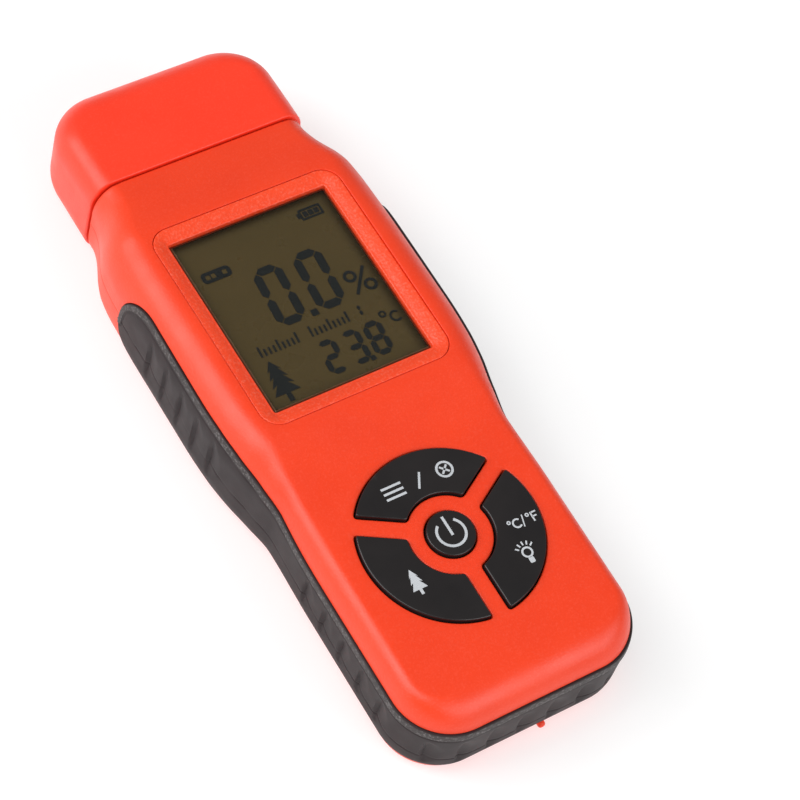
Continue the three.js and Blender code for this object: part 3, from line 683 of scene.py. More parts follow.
def shader(name, rgb, rough, grain=0.0, grain_size=0.25, metal=0.0, vary=0.06, tint=None, wear=0.0,
           rough_vary=0.06, coat=0.0, spec=0.5, alpha=1.0, brushed=None, shade=None, deep=1.0, painted_glint=0.0):
    """A Principled material with a fine grain, slow changes of colour and gloss, and worn edges, and on
    request painted highlight specks on the grain and painted shade towards two edges.
    """
    material = bpy.data.materials.new(name)
    material.use_nodes = True
    nodes = Nodes(material.node_tree)
    nodes.fill(nodes.main, {"Metallic": metal, "Coat Weight": coat, "Coat Roughness": 0.1,
                            "Specular IOR Level": spec, "Alpha": alpha})
    place = nodes.new("ShaderNodeTexCoord")
    at = place.outputs["Object"]
    stretched = nodes.new("ShaderNodeMapping")
    stretched.inputs["Scale"].default_value = brushed or (1, 1, 1)
    nodes.link(at, stretched.inputs["Vector"])

    base = linear(rgb)
    other = linear(tint) if tint else [c * (1 - vary) for c in base[:3]] + [1.0]
    colour = nodes.towards(nodes.ramp(nodes.noise(14, 3, at), 0.3, 0.7, 0, 1), base, other)
    if shade:
        # Painted shade: darker towards the piece's +X and +Y edges, where the display frame's wall shades it.
        parts = nodes.new("ShaderNodeSeparateXYZ")
        nodes.link(place.outputs["Generated"], parts.inputs[0])
        right = nodes.ramp(parts.outputs["X"], 0.90, 1, 0, 1, "SMOOTHSTEP")
        top = nodes.ramp(parts.outputs["Y"], 0.92, 1, 0, 1, "SMOOTHSTEP")
        colour = nodes.towards(nodes.combined("MAXIMUM", right, top), colour, linear(shade))
    fine = nodes.noise(grain_size, 2, stretched.outputs["Vector"] if brushed else at, 0.6)
    if painted_glint:
        # Painted highlight: paler specks painted on the tops of the grain, where they would catch the light.
        colour = nodes.towards(nodes.ramp(fine, 0.5, 0.72, 0, painted_glint), colour, lighter(base, 1.5, 0.10))
    if wear:
        edges = nodes.new("ShaderNodeNewGeometry")
        worn = nodes.ramp(edges.outputs["Pointiness"], 0.53, 0.62, 0, wear)
        worn = nodes.combined("MULTIPLY", worn, nodes.noise(3, 4, at))
        colour = nodes.towards(worn, colour, lighter(base, 1.6, 0.06))
    nodes.link(colour, nodes.main.inputs["Base Color"])
    gloss = nodes.ramp(nodes.noise(5, 4, at), 0.25, 0.75, rough - rough_vary, rough + rough_vary)
    nodes.link(gloss, nodes.main.inputs["Roughness"])
    if grain:
        bump = nodes.new("ShaderNodeBump")
        nodes.fill(bump, {"Strength": grain, "Distance": GRAIN_DEPTH * MM * deep})
        nodes.link(fine, bump.inputs["Height"])
        nodes.link(bump.outputs["Normal"], nodes.main.inputs["Normal"])
    return material


# The red mouldings and the stippled rubber get painted highlight specks on their grain.
RED = shader("red_moulding", (241, 63, 23), 0.40, grain=0.6, grain_size=0.42, wear=0.25,
             tint=(236, 59, 20), deep=2.0, painted_glint=0.12)
RED_CAP = shader("red_cap_moulding", (254, 61, 32), 0.38, grain=0.5, grain_size=0.42, wear=0.25,
                 tint=(249, 57, 29), deep=1.8, painted_glint=0.10)
RED_FINE = shader("red_spark_finish", (246, 72, 30), 0.42, grain=1.0, grain_size=0.5, wear=0.2,
                  tint=(240, 66, 27), deep=3.2, painted_glint=0.45)
RUBBER = shader("soft_rubber", (44, 33, 34), 0.56, grain=0.5, grain_size=0.35, tint=(39, 30, 31),
                wear=0.25, spec=0.32)
STIPPLE = shader("stippled_rubber", (60, 52, 51), 0.60, grain=1.0, grain_size=0.55,
                 tint=(50, 43, 43), wear=0.3, deep=3.0, painted_glint=0.9)
KEY = shader("key_plastic", (22, 19, 20), 0.30, grain=0.12, grain_size=0.18, tint=(31, 27, 27), wear=0.3)
PRINT = shader("pale_print", (200, 203, 207), 0.5, grain=0.2, grain_size=0.1, tint=(184, 188, 192))
SEGMENT = shader("dark_segment", (20, 24, 25), 0.35, grain=0.1, grain_size=0.1, tint=(26, 30, 30))
# The display film has painted shade along its top and right edges, where the frame's wall shades it.
LCD = shader("lcd_film", (94, 78, 44), 0.30, grain=0.05, grain_size=0.2, tint=(91, 76, 42), spec=0.3,
             shade=(38, 28, 20))
CLEAR = shader("clear_window", (34, 36, 33), 0.06, grain=0.01, grain_size=3.0, alpha=0.14, rough_vary=0.02)
CLEAR_EDGE = shader("polished_edge", (126, 118, 92), 0.38, grain=0.1, metal=0.95, alpha=0.85,
                    tint=(118, 110, 86))
BACKLIGHT = shader("light_guide", (233, 230, 218), 0.4, grain=0.1, tint=(224, 220, 206))
ELASTOMER = shader("zebra_rubber", (138, 143, 150), 0.7, grain=0.3, brushed=(30, 1, 1))
BOARD = shader("green_board", (28, 92, 56), 0.42, grain=0.35, grain_size=0.3, tint=(22, 78, 48), coat=0.3)
BLACK = shader("black_part", (27, 27, 29), 0.45, grain=0.3, grain_size=0.15, tint=(35, 35, 37), wear=0.3)
CHROME = shader("plated_steel", (205, 206, 210), 0.16, grain=0.15, grain_size=0.3, metal=1.0,
                tint=(188, 190, 194), brushed=(1, 1, 12), rough_vary=0.05)
BRASS = shader("brass", (196, 158, 92), 0.30, grain=0.2, metal=1.0, tint=(176, 138, 78), wear=0.2)
STEEL = shader("zinc_steel", (165, 167, 170), 0.33, grain=0.25, metal=1.0, tint=(142, 144, 150), wear=0.2)
SLEEVE = shader("cell_sleeve", (44, 86, 140), 0.30, grain=0.1, tint=(36, 74, 124), coat=0.3, wear=0.2)
SLEEVE_BAND = shader("cell_band", (198, 200, 204), 0.3, grain=0.1, tint=(182, 184, 190), coat=0.3)


# ---------------------------------------------------------------- front cover

def front_cover():
    """The front half of the housing, with its openings for the display and the keys."""
    build = Build()
    edge = housing_edge(1)
    r = EDGE_R
    surface = flank(1)
    full = np.vstack([edge[::-1] * [-1, 1], edge[1:]])
    inward = outward(full, closed=False)
    # The free edge runs towards +s, so its right-hand side points to smaller v: into the cover.
    if inward[len(inward) // 2, 1] > 0:
        inward = -inward
    inward[0] = (1, -1)
    inward[-1] = (-1, -1)
    v_end = edge[-1, 1]
    rise = np.linspace(v_end, 0, 16)
    right = np.column_stack([np.full(16, S_MOUTH), rise])
    edge_x = float(side_point(S_MOUTH, 0, 0, 1)[0])
    across = np.linspace(edge_x, -edge_x, 36)[1:-1]
    chain = Chain()
    chain.add(surface, right[1:], np.tile([-1.0, 0], (15, 1)))
    chain.add(front_surface, np.column_stack([across, np.full(len(across), MOUTH_Y)]),
              np.tile([0, -1.0], (len(across), 1)))
    chain.add(surface, (right[1:] * [-1, 1])[::-1], np.tile([1.0, 0], (15, 1)))
    chain.add(surface, full, inward)
    skin_rows(build, chain, r, SKIN)

    # flank
    inner = full + r * inward
    left_line = np.column_stack([np.full(14, -S_MOUTH + r), rise[1:-1]])[::-1]
    right_line = np.column_stack([np.full(14, S_MOUTH - r), rise[1:-1]])
    top_s = np.concatenate([np.arange(-S_MOUTH + r, S_MOUTH - r - 0.4, 1.1), [S_MOUTH - r]])
    top = np.column_stack([top_s, np.zeros(len(top_s))])[::-1]
    skin_faces(build, surface, [np.vstack([inner, right_line, top, left_line])], (1.1, 0.8), SKIN)

    # face
    ring = surface(top_s, 0, 0)[:, :2]
    mouth = np.column_stack([across, np.full(len(across), MOUTH_Y - r)])
    seam = 2 * BEZEL_SEAM
    opening = rounded_rect(BEZEL[0] + seam, BEZEL[1] + seam, BEZEL[2] + BEZEL_SEAM, 12, 24)
    holes = [opening + [0, DISPLAY_Y]]
    holes += [key_loop(name, GAP, KEY_CORNER + GAP) for name in ("power", *KEYS)]
    offsets = []
    for k, hole in enumerate(holes):
        radius = EDGE_R if k == 0 else 0.3
        edge_chain = Chain()
        edge_chain.add(front_surface, hole, outward(hole))
        skin_rows(build, edge_chain, radius, SKIN)
        offsets.append(hole + radius * outward(hole))
    skin_faces(build, front_surface, [np.vstack([ring, mouth]), *offsets], (1.3, 1.3), SKIN)
    return build.object("front_moulding", [RED], "housing", "red_shell", ["front_cover"])


# ---------------------------------------------------------------- back cover

def door_gap_s(v, half_x):
    """Outline distance where the handle's end reaches a given x, at distance v from the back face's edge."""
    guess = np.linspace(10, 45, 400)
    reach = lambda one: side_point(guess, float(one), 0, -1)[:, 0]
    return np.array([np.interp(half_x, reach(one), guess) for one in np.atleast_1d(v)])


def back_surface(x, y, g):
    return np.stack(np.broadcast_arrays(x, y, -g + 0 * y), -1)


BAY_STEP_Y = -72.0                  # the bay's foot is shallower towards the handle's end


def bay_loop(half, y0, y1, z):
    """A level of the battery bay; z is a height or a function of y."""
    loop = densify(rounded_rect(2 * half, y1 - y0, 1.0, 4), 12) + np.array([0, (y0 + y1) / 2])
    heights = z(loop[:, 1]) if callable(z) else np.full(len(loop), float(z))
    return np.column_stack([loop, heights])


def battery_bay(build):
    """The box that holds the cells, with a ledge for the door round its mouth."""
    foot = lambda y: np.where(y < BAY_STEP_Y, 5.25, 1.5)
    rows = [
        bay_loop(17.2, -75.4, -26.9, 13.0), bay_loop(17.2, -75.4, -26.9, 5.3),
        bay_loop(18.1, -76.3, -24.7, 5.3), bay_loop(18.1, -76.3, -24.7, foot),
        bay_loop(18.5, -76.7, -24.3, foot), bay_loop(18.5, -76.7, -24.3, 14.2),
    ]
    build.grid(rows, closed=True)
    build.fill(rows[0])
    build.fill(rows[-1])


WELL_Z = 5.4                        # seat of a screw's head
WELL_R = 3.9


def screw_well(build, x, y):
    """A rounded hole in the back and the well behind it, down to the seat of the screw's head."""
    hole = circle(SCREW_HOLE_R, x, y, 40)
    chain = Chain()
    chain.add(back_surface, hole, outward(hole))
    skin_rows(build, chain, EDGE_R, SKIN)
    inner = circle(SCREW_HOLE_R + 0.02, x, y, 40)
    outer = circle(WELL_R, x, y, 40)
    top = SKIN - 0.1
    well = ((inner, top), (inner, WELL_Z), (outer, WELL_Z), (outer, top), (inner, top))
    build.grid([at_height(loop, z) for loop, z in well], closed=True)
    return hole + EDGE_R * outward(hole)


def back_cover():
    """The back half of the housing, open at the door, with its screw wells and battery bay."""
    build = Build()
    r = EDGE_R
    half_x = DOOR_HALF_W + GAP
    hinge_edge = HINGE_Y + 1.0 + GAP
    edge = housing_edge(-1)
    surface = flank(-1)
    v_top = float(edge[0, 1])
    s_top = float(door_gap_s(v_top, half_x)[0])
    edge = edge[edge[:, 0] > s_top + 0.3]
    cut_v = np.linspace(0, v_top, 12)
    cut = np.column_stack([door_gap_s(cut_v, half_x), cut_v])
    v_end = edge[-1, 1]
    # Right half, anticlockwise in (s, v): the face's edge, the mouth, the free edge, the door.
    free = np.vstack([cut, edge])
    normal = outward(free, closed=False)
    if normal[-2, 1] > 0:
        normal = -normal
    normal[-1] = (-1, -1)
    normal[0] = (1, 0)
    rise = np.linspace(v_end, 0, 16)
    mirror = np.array([-1, 1])
    lip = np.column_stack([np.full(16, S_MOUTH), rise])
    edge_x = float(side_point(S_MOUTH, 0, 0, -1)[0])
    across = np.linspace(edge_x, -edge_x, 36)[1:-1]
    start = side_point(cut[0, 0], 0, 0, -1)
    door_line = np.vstack([
        spread(np.array([[half_x, start[1]], [half_x, hinge_edge]]), 1.5)[1:],
        spread(np.array([[half_x, hinge_edge], [-half_x, hinge_edge]]), 1.5)[1:-1],
        spread(np.array([[-half_x, hinge_edge], [-half_x, start[1]]]), 1.5)[:-1],
    ])
    door_in = np.zeros_like(door_line)
    door_side = np.sign(door_line[:, 0])
    door_in[:, 0] = np.where(np.abs(door_line[:, 0]) > half_x - 1e-6, door_side, 0)
    door_in[:, 1] = np.where(door_line[:, 1] > hinge_edge - 1e-6, 1, 0)
    chain = Chain()
    chain.add(surface, free[1:], normal[1:])
    chain.add(surface, lip[1:], np.tile([-1.0, 0], (15, 1)))
    chain.add(back_surface, np.column_stack([across, np.full(len(across), MOUTH_Y)]),
              np.tile([0, -1.0], (len(across), 1)))
    chain.add(surface, (lip[1:] * mirror)[::-1], np.tile([1.0, 0], (15, 1)))
    chain.add(surface, (free * mirror)[::-1], (normal * mirror)[::-1])
    chain.add(back_surface, door_line[::-1], door_in[::-1])
    chain.add(surface, free[:1], normal[:1])
    skin_rows(build, chain, r, SKIN)

    inner = free + r * normal
    # The first point stays on the face's edge.
    inner[0, 1] = 0
    lip_line = np.column_stack([np.full(14, S_MOUTH - r), rise[1:-1]])
    base_s = np.concatenate([np.arange(inner[0, 0] + 1.0, S_MOUTH - r - 0.4, 1.1), [S_MOUTH - r]])
    base = np.column_stack([base_s, np.zeros(len(base_s))])[::-1]
    for turn in (1, -1):
        loop = np.vstack([inner, lip_line, base]) * [turn, 1]
        skin_faces(build, surface, [loop], (1.1, 0.8), SKIN)
    ring = side_point(np.concatenate([[inner[0, 0]], base_s]), 0, 0, -1)[:, :2]
    mouth = np.column_stack([across, np.full(len(across), MOUTH_Y - r)])
    door_off = door_line + r * door_in
    outer = np.vstack([ring, mouth, (ring * mirror)[::-1], door_off[::-1]])
    holes = [screw_well(build, x, y) for x, y in SCREWS.values()]
    skin_faces(build, back_surface, [outer, *holes], (1.5, 1.5), SKIN)
    battery_bay(build)
    return build.object("back_moulding", [RED], "housing", "red_shell", ["back_cover"])


front_cover()
back_cover()

# ---------------------------------------------------------------- rubber grip

RIDGE = through([(-90, 1.75), (-40, 1.75), (-10, 1.4), (60, 1.35)])
HEAD_SCOOPS = [20.9, 14.8, 8.6, 2.5, -3.5]
HANDLE_SCOOPS = [-36.4, -43.3, -50.2, -57.1, -64.0]
END_SCOOPS = [-22.6, -16.6, -9.9, -3.0, 3.9, 10.8, 17.7]
SCOOP_DEPTH = 0.72
SCOOP_W = 3.8
SCOOP_WALL = 0.8                    # width of a scoop's steep side
SCOOP_BOW = 0.5
SCOOP_MIDDLE_Z = {"head": (19.0, 6.6), "handle": (16.0, 7.4), "end": (15.3, 6.6)}


def scoop_places():
    """(s, low z, high z) of every scoop in the rubber, round the whole band."""
    places = []
    for turn in (-1, 1):
        places += [(turn * float(s_at_y(y)), *SCOOP_MIDDLE_Z["head"][::-1]) for y in HEAD_SCOOPS]
        places += [(turn * float(s_at_y(y)), *SCOOP_MIDDLE_Z["handle"][::-1]) for y in HANDLE_SCOOPS]
    for x in END_SCOOPS:
        s = math.copysign(float(np.interp(abs(x), OUT_ROWS[OUT_ROWS[:, 1] < CORNER_Y, 0],
                                          OUT_S[OUT_ROWS[:, 1] < CORNER_Y])), x)
        places.append((s, *SCOOP_MIDDLE_Z["end"][::-1]))
    return places


def scoop_depth(s, z):
    """How deep the scoops are: steep on the side towards smaller s, a long ramp on the other."""
    depth = np.zeros(s.shape)
    for s0, low, high in scoop_places():
        t = (z - low) / (high - low)
        across = s - s0 - SCOOP_BOW * (2 * t - 1) ** 2
        lens = np.clip(1 - (2 * t - 1) ** 2, 0, 1) ** 0.7
        ramp = np.clip(1 - across / (SCOOP_W * lens + 1e-6), 0, 1) ** 1.5
        steep = np.clip(across / SCOOP_WALL + 1, 0, 1)
        steep = steep * steep * (3 - 2 * steep)
        part = np.where((t > 0) & (t < 1), SCOOP_DEPTH * lens * ramp * steep, 0)
        depth = np.maximum(depth, part)
    return depth


def crease_z(s):
    """Height of the rubber's parting line."""
    return np.interp(station(s)[1], [-78.4, -66, -20, -4, 33], [8.6, 9.0, 10.2, 10.8, 11.0])


BAND_STEP = 0.42                    # distance between columns of the rubber's mesh
BAND_TIP = 10.5                     # length of the tongue's tip, where columns crowd together
BAND_EDGE_R = 0.36
LEDGE = 0.16                        # drop from the ridge to the side of the rubber
# Rows from the upper to the lower edge, close together at both and at the ridge's step.
BAND_ROWS = np.concatenate([
    [0, 0.04, 0.09, 0.15, 0.24, 0.36, 0.6, 0.9, 1.25, 1.5, 1.62, 1.72, 1.85, 2.1],
    np.linspace(2.4, 17.4, 46),
    [17.7, 17.9, 18.05, 18.15, 18.24, 18.3, 18.36, 18.4],
]) / 18.4


def rubber_grip():
    """The rubber band round both sides and the handle's end, with its ridge, step and scoops."""
    build = Build()
    upper, lower = band_side(0)
    tip_y = BAND_TIP_Y - BAND_TIP * (1 - np.sin(np.linspace(0, PI / 2, 44)))
    half_y = np.concatenate([np.arange(-64, 22.6, BAND_STEP), tip_y])
    half_s = np.concatenate([np.arange(0, float(s_at_y(-64)), BAND_STEP), s_at_y(half_y)])
    half_s[-1] = float(s_at_y(BAND_TIP_Y)) - 0.002
    y_of = station(half_s)[1]
    top = np.interp(y_of, upper[:, 0], upper[:, 1])
    low = np.interp(y_of, lower[:, 0], lower[:, 1])
    s_all = np.concatenate([-half_s[::-1], half_s[1:]])
    top, low = under_rubber(half_s, top), under_rubber(half_s, low)
    top = np.concatenate([top[::-1], top[1:]])
    low = np.concatenate([low[::-1], low[1:]])
    s_grid, share_grid = np.meshgrid(s_all, BAND_ROWS, indexing="ij")
    z_grid = top[:, None] + (low - top)[:, None] * share_grid
    # True distances to the upper and lower edge, in (s, z).
    tip = half_s[-1]
    line_up = np.column_stack([half_s, top[len(top) // 2:]])[::4]
    line_low = np.column_stack([half_s, low[len(low) // 2:]])[::4]
    line_up = np.vstack([line_up, [[tip, top[-1]]]])
    line_low = np.vstack([line_low, [[tip, low[-1]]]])
    flat = np.column_stack([np.abs(s_grid).ravel(), z_grid.ravel()])
    to_up = distance(flat, line_up, closed=False).reshape(s_grid.shape)
    to_low = distance(flat, line_low, closed=False).reshape(s_grid.shape)
    to_edge = np.minimum(to_up, to_low)
    lift = np.full(s_grid.shape, BAND_PROUD)
    r = BAND_EDGE_R
    lift -= r - np.sqrt(np.clip(r ** 2 - np.clip(r - to_edge, 0, r) ** 2, 0, None))
    ridge = RIDGE(station(s_grid)[1])
    on_ridge = np.clip((ridge + 0.12 - to_up) / 0.12, 0, 1)
    lift -= LEDGE * (1 - on_ridge)
    # A fine step line under the ridge, and the parting line lower down.
    lift -= 0.10 * np.exp(-((to_up - ridge - 0.45) / 0.1) ** 2)
    inner = np.clip((to_edge - 0.5) / 0.4, 0, 1) * (1 - on_ridge)
    lift -= 0.16 * np.exp(-((z_grid - crease_z(s_grid)) / 0.11) ** 2) * inner
    lift -= scoop_depth(s_grid, z_grid) * inner
    rows = wall_point(s_grid, z_grid, lift)
    back = wall_point(s_grid, z_grid, np.full(s_grid.shape, -BAND_SUNK))
    build.grid(rows)
    # The ridge between its two edges is stippled.
    from_top = (to_up[:-1, :-1] + to_up[1:, 1:]) / 2
    from_edge = (to_edge[:-1, :-1] + to_edge[1:, 1:]) / 2
    stippled = (from_top < ridge[:-1, :-1] - 0.05) & (from_edge > 0.18)
    build.marks = stippled.astype(int).ravel().tolist()
    build.grid(back[:, [0, -1]])
    build.grid([rows[:, 0], back[:, 0]])
    build.grid([rows[:, -1], back[:, -1]])
    for tip in (0, -1):
        build.fill(np.vstack([rows[tip], back[tip, -1:], back[tip, :1]]))
    return build.object("rubber_grip", [RUBBER, STIPPLE], "housing", "grip_rubber", ["grip_band"])


rubber_grip()

# ---------------------------------------------------------------- display

DISPLAY_PLACE = Matrix.Translation((0, DISPLAY_Y, DISPLAY_Z)) @ Matrix.Rotation(DISPLAY_TILT, 4, "X")


def between(a, b, share):
    return a + (b - a) * share


def bezel():
    """The dished frame round the display."""
    build = Build()
    outer = lambda d: rounded_rect(BEZEL[0] - 2 * d, BEZEL[1] - 2 * d, BEZEL[2] - d, 14, 20)
    window = lambda d: rounded_rect(WINDOW[0] + 2 * d, WINDOW[1] + 2 * d, WINDOW[2] + d, 14, 20)
    rows = [at_height(outer(0), BEZEL_FOOT)]
    rim = 0.22
    turns = np.linspace(0, PI / 2, 6)
    rows += [at_height(outer(rim * (1 - math.cos(a))), -rim + rim * math.sin(a)) for a in turns]
    first, last = outer(rim), window(0.5)
    for share in np.linspace(0, 1, 14)[1:]:
        sink = -DISH * (0.25 * share + 0.75 * share ** 1.6)
        rows.append(at_height(between(first, last, share), sink))
    lip = 0.34
    rows += [at_height(window(0.5 - 0.16 - lip * math.sin(a)), -DISH - 0.02 - lip * (1 - math.cos(a)))
             for a in turns]
    rows += [at_height(window(0), LENS_SEAT), at_height(window(BEZEL_WALL), LENS_SEAT)]
    rows += [at_height(window(BEZEL_WALL), BEZEL_FOOT), at_height(outer(0), BEZEL_FOOT)]
    build.grid(rows, closed=True)
    return build.object("bezel_frame", [RED_FINE], "housing", "red_shell", ["display_bezel"],
                        place=DISPLAY_PLACE)


bezel()

PANE_TOP = -1.5
PANE_CHAMFER = 0.6


def window_pane():
    """The clear window in its opening, with a polished chamfer round its face."""
    build = Build()
    loop = lambda d: rounded_rect(WINDOW[0] - 2 * d, WINDOW[1] - 2 * d, max(WINDOW[2] - d, 0.1), 4, 12)
    side = 0.06
    rows = [at_height(loop(side), LENS_SEAT), at_height(loop(side), PANE_TOP - PANE_CHAMFER),
            at_height(loop(side + PANE_CHAMFER), PANE_TOP)]
    build.grid(rows, closed=True, mark=1)
    flat, faces = triangles([loop(side + PANE_CHAMFER)], (4.0, 4.0))
    build.add(at_height(flat, PANE_TOP), faces)
    flat, faces = triangles([loop(side)], (4.0, 4.0))
    build.add(at_height(flat, LENS_SEAT), faces)
    build.object("window_pane", [CLEAR, CLEAR_EDGE], "housing", "clear_window", ["display_lens"],
                 place=DISPLAY_PLACE)


window_pane()


class Printed:
    """Thin flat shapes laid on a face: filled outlines with a small real thickness."""

    def __init__(self, low, high):
        self.build = Build()
        self.low, self.high = low, high

    def shape(self, loop, holes=()):
        loop = np.asarray(loop, float)
        loops = [loop, *[np.asarray(h, float) for h in holes]]
        flat, faces = triangles(loops, (50.0, 50.0))
        for z in (self.low, self.high):
            self.build.add(at_height(flat, z), faces)
        for one in loops:
            self.build.grid([at_height(one, self.low), at_height(one, self.high)], closed=True)

    def bar(self, x0, y0, x1, y1, wide):
        along = np.array([x1 - x0, y1 - y0])
        side = np.array([-along[1], along[0]]) / np.hypot(*along) * wide / 2
        a, b = np.array([x0, y0]), np.array([x1, y1])
        self.shape([a - side, b - side, b + side, a + side])

    def ring(self, cx, cy, r, wide, start=0, stop=360):
        if stop - start >= 360:
            self.shape(circle(r + wide / 2, cx, cy, 40), [circle(r - wide / 2, cx, cy, 40)])
            return
        a = np.radians(np.linspace(start, stop, 28))
        out = np.stack([cx + (r + wide / 2) * np.cos(a), cy + (r + wide / 2) * np.sin(a)], 1)
        back = np.stack([cx + (r - wide / 2) * np.cos(a), cy + (r - wide / 2) * np.sin(a)], 1)
        self.shape(np.vstack([out, back[::-1]]))


SEGMENTS = {
    "0": "abcdef", "1": "bc", "2": "abged", "3": "abgcd", "8": "abcdefg", "C": "afed", "F": "afge",
}


def digit(ink, char, x, y, w, h, stroke, slant=0.07):
    """Seven bars of a digit in a box whose lower left corner is x, y."""
    g = stroke * 0.10
    m, q = h / 2, stroke / 2
    ends = {
        "a": ((q, h - q), (w - q, h - q)), "g": ((q, m), (w - q, m)), "d": ((q, q), (w - q, q)),
        "f": ((q, m), (q, h - q)), "b": ((w - q, m), (w - q, h - q)),
        "e": ((q, q), (q, m)), "c": ((w - q, q), (w - q, m)),
    }
    for name in SEGMENTS[char]:
        (x0, y0), (x1, y1) = ends[name]
        along = np.array([x1 - x0, y1 - y0])
        long = np.hypot(*along)
        along = along / long
        side = np.array([-along[1], along[0]]) * q
        a = np.array([x0, y0]) + along * g
        b = np.array([x1, y1]) - along * g
        inset = along * q
        loop = np.array([a, a + (inset - side), b - (inset + side), b, b - inset + side, a + inset + side])
        loop[:, 0] += slant * loop[:, 1]
        ink.shape(loop + np.array([x, y]))


def tree(ink, x, y, h, tiers):
    """A fir tree: tiers of boughs over a trunk, in a box of height h that stands on x, y."""
    trunk = 0.20
    right = [(0.055, 0.0), (0.055, trunk)]
    step = (1 - trunk) / (tiers + 0.35)
    for k in range(tiers):
        low = trunk + k * step
        wide = 0.29 * (1 - 0.62 * k / tiers)
        top = 1.0 if k == tiers - 1 else low + 1.3 * step
        right += [(wide, low), (0.0 if k == tiers - 1 else 0.40 * wide, top)]
    half = np.array(right)
    loop = np.vstack([half, (half * [-1, 1])[::-1][1:]]) * h
    ink.shape(loop + np.array([x, y]))


def lcd_marks():
    """Everything that the display shows."""
    ink = Printed(LCD_TOP + 0.04, LCD_TOP + 0.12)
    # Places on the glass as shares of the window's width and height, from its top left corner.
    px = lambda share: (share - 0.475) * WINDOW[0]
    py = lambda share: (0.518 - share) * WINDOW[1]
    # A pill with three small windows: the sign that a reading is being taken.
    mid_x, mid_y = px(.146), py(.23)
    pill = rounded_rect(px(.235) - px(.057), py(.20) - py(.26), 0.9, 6) + [mid_x, mid_y]
    ink.shape(pill, [rounded_rect(1.0, 1.1, 0.2, 3) + [mid_x + dx, mid_y] for dx in (-1.9, -0.65, 1.85)])
    # The battery's level.
    x0, x1, y0, y1 = px(.765), px(.905), py(.135), py(.073)
    frame_loop = rounded_rect(x1 - x0, y1 - y0, 0.3, 4) + [(x0 + x1) / 2, (y0 + y1) / 2]
    room = rounded_rect(x1 - x0 - 0.9, y1 - y0 - 0.9, 0.15, 4) + [(x0 + x1) / 2, (y0 + y1) / 2]
    ink.shape(frame_loop, [room])
    for k in range(3):
        w = (x1 - x0 - 1.3) / 3
        ink.shape(rounded_rect(w - 0.22, y1 - y0 - 1.4, 0.1, 3) + [x0 + 0.65 + w * (k + 0.5), (y0 + y1) / 2])
    ink.bar(x0 - 0.6, (y0 + y1) / 2, x0 - 0.02, (y0 + y1) / 2, 1.2)
    # Moisture reading.
    h = py(.283) - py(.615)
    for s in (.292, .545):
        digit(ink, "0", px(s), py(.615), 0.180 * WINDOW[0], h, 1.8)
    ink.shape(rounded_rect(1.5, 1.5, 0.25, 4) + [px(.517), py(.603)])
    # Percent sign.
    ink.ring(px(.813), py(.500), 1.1, 0.65)
    ink.ring(px(.897), py(.575), 1.1, 0.65)
    ink.bar(px(.795), py(.602), px(.915), py(.470), 0.65)
    # Two rows of scale marks.
    for start in (px(.11), px(.43)):
        for k in range(9):
            tall = 2.5 if k % 4 == 0 else 1.6
            x = start + k * 1.05
            ink.bar(x, py(.716), x + 0.07 * tall, py(.716) + tall, 0.42)
    digit(ink, "1", px(.715), py(.718), 1.5, py(.645) - py(.718), 0.6)
    # Temperature with its unit.
    h = py(.755) - py(.94)
    for char, s in (("2", .395), ("3", .545), ("8", .685)):
        digit(ink, char, px(s), py(.94), 0.115 * WINDOW[0], h, 1.2)
    ink.shape(rounded_rect(1.1, 1.1, 0.2, 4) + [px(.66), py(.933)])
    ink.ring(px(.850), py(.745), 0.6, 0.38)
    ink.ring(px(.915), py(.778), 1.1, 0.46, 45, 315)
    # Wood group symbol.
    tree(ink, px(.125), py(.975), py(.745) - py(.975), 4)
    return ink.build.object("lcd_marks", [SEGMENT], "housing", "lcd_glass", place=DISPLAY_PLACE)


lcd_marks()

# ---------------------------------------------------------------- keys

def key(name):
    """A key's cap with a rounded rim."""
    build = Build()
    rim = 0.3
    base = key_loop(name, 0, KEY_CORNER)
    out = outward(base)
    rows = [at_height(base, KEY_BOTTOM_Z)]
    rows += [at_height(base - out * rim * (1 - math.cos(a)), KEY_TOP_Z - rim + rim * math.sin(a))
             for a in np.linspace(0, PI / 2, 6)]
    build.grid(rows, closed=True)
    face = base - out * rim
    flat, faces = triangles([face], (1.27, 1.16))
    build.add(at_height(flat, KEY_TOP_Z), faces)
    flat, faces = triangles([base], (50, 50))
    build.add(at_height(flat, KEY_BOTTOM_Z), faces)
    return build.object(f"{name}_key_cap", [KEY], f"{name}_key", "key_black", [f"{name}_button"])


def legend(name, draw):
    """The print on a key."""
    ink = Printed(KEY_TOP_Z - 0.02, KEY_TOP_Z + 0.03)
    draw(ink)
    return ink.build.object(f"{name}_key_print", [PRINT], f"{name}_key", "key_black")


def power_sign(ink):
    ink.ring(0, RING_Y, 2.9, 0.56, 128, 412)
    ink.bar(0, RING_Y - 0.6, 0, RING_Y + 3.7, 0.56)


def mode_sign(ink):
    y = RING_Y + 12.4
    for k in (-1, 0, 1):
        ink.bar(-7.8, y + k * 1.2, -3.4, y + k * 1.2, 0.5)
    ink.bar(-0.7, y - 1.6, 1.1, y + 1.6, 0.45)
    ink.ring(6.0, y, 1.6, 0.48)
    ink.bar(5.2, y - 0.8, 6.8, y + 0.8, 0.42)
    ink.bar(5.2, y + 0.8, 6.8, y - 0.8, 0.42)


def tree_sign(ink):
    tree(ink, -11.7, RING_Y - 8.9, 5.6, 3)


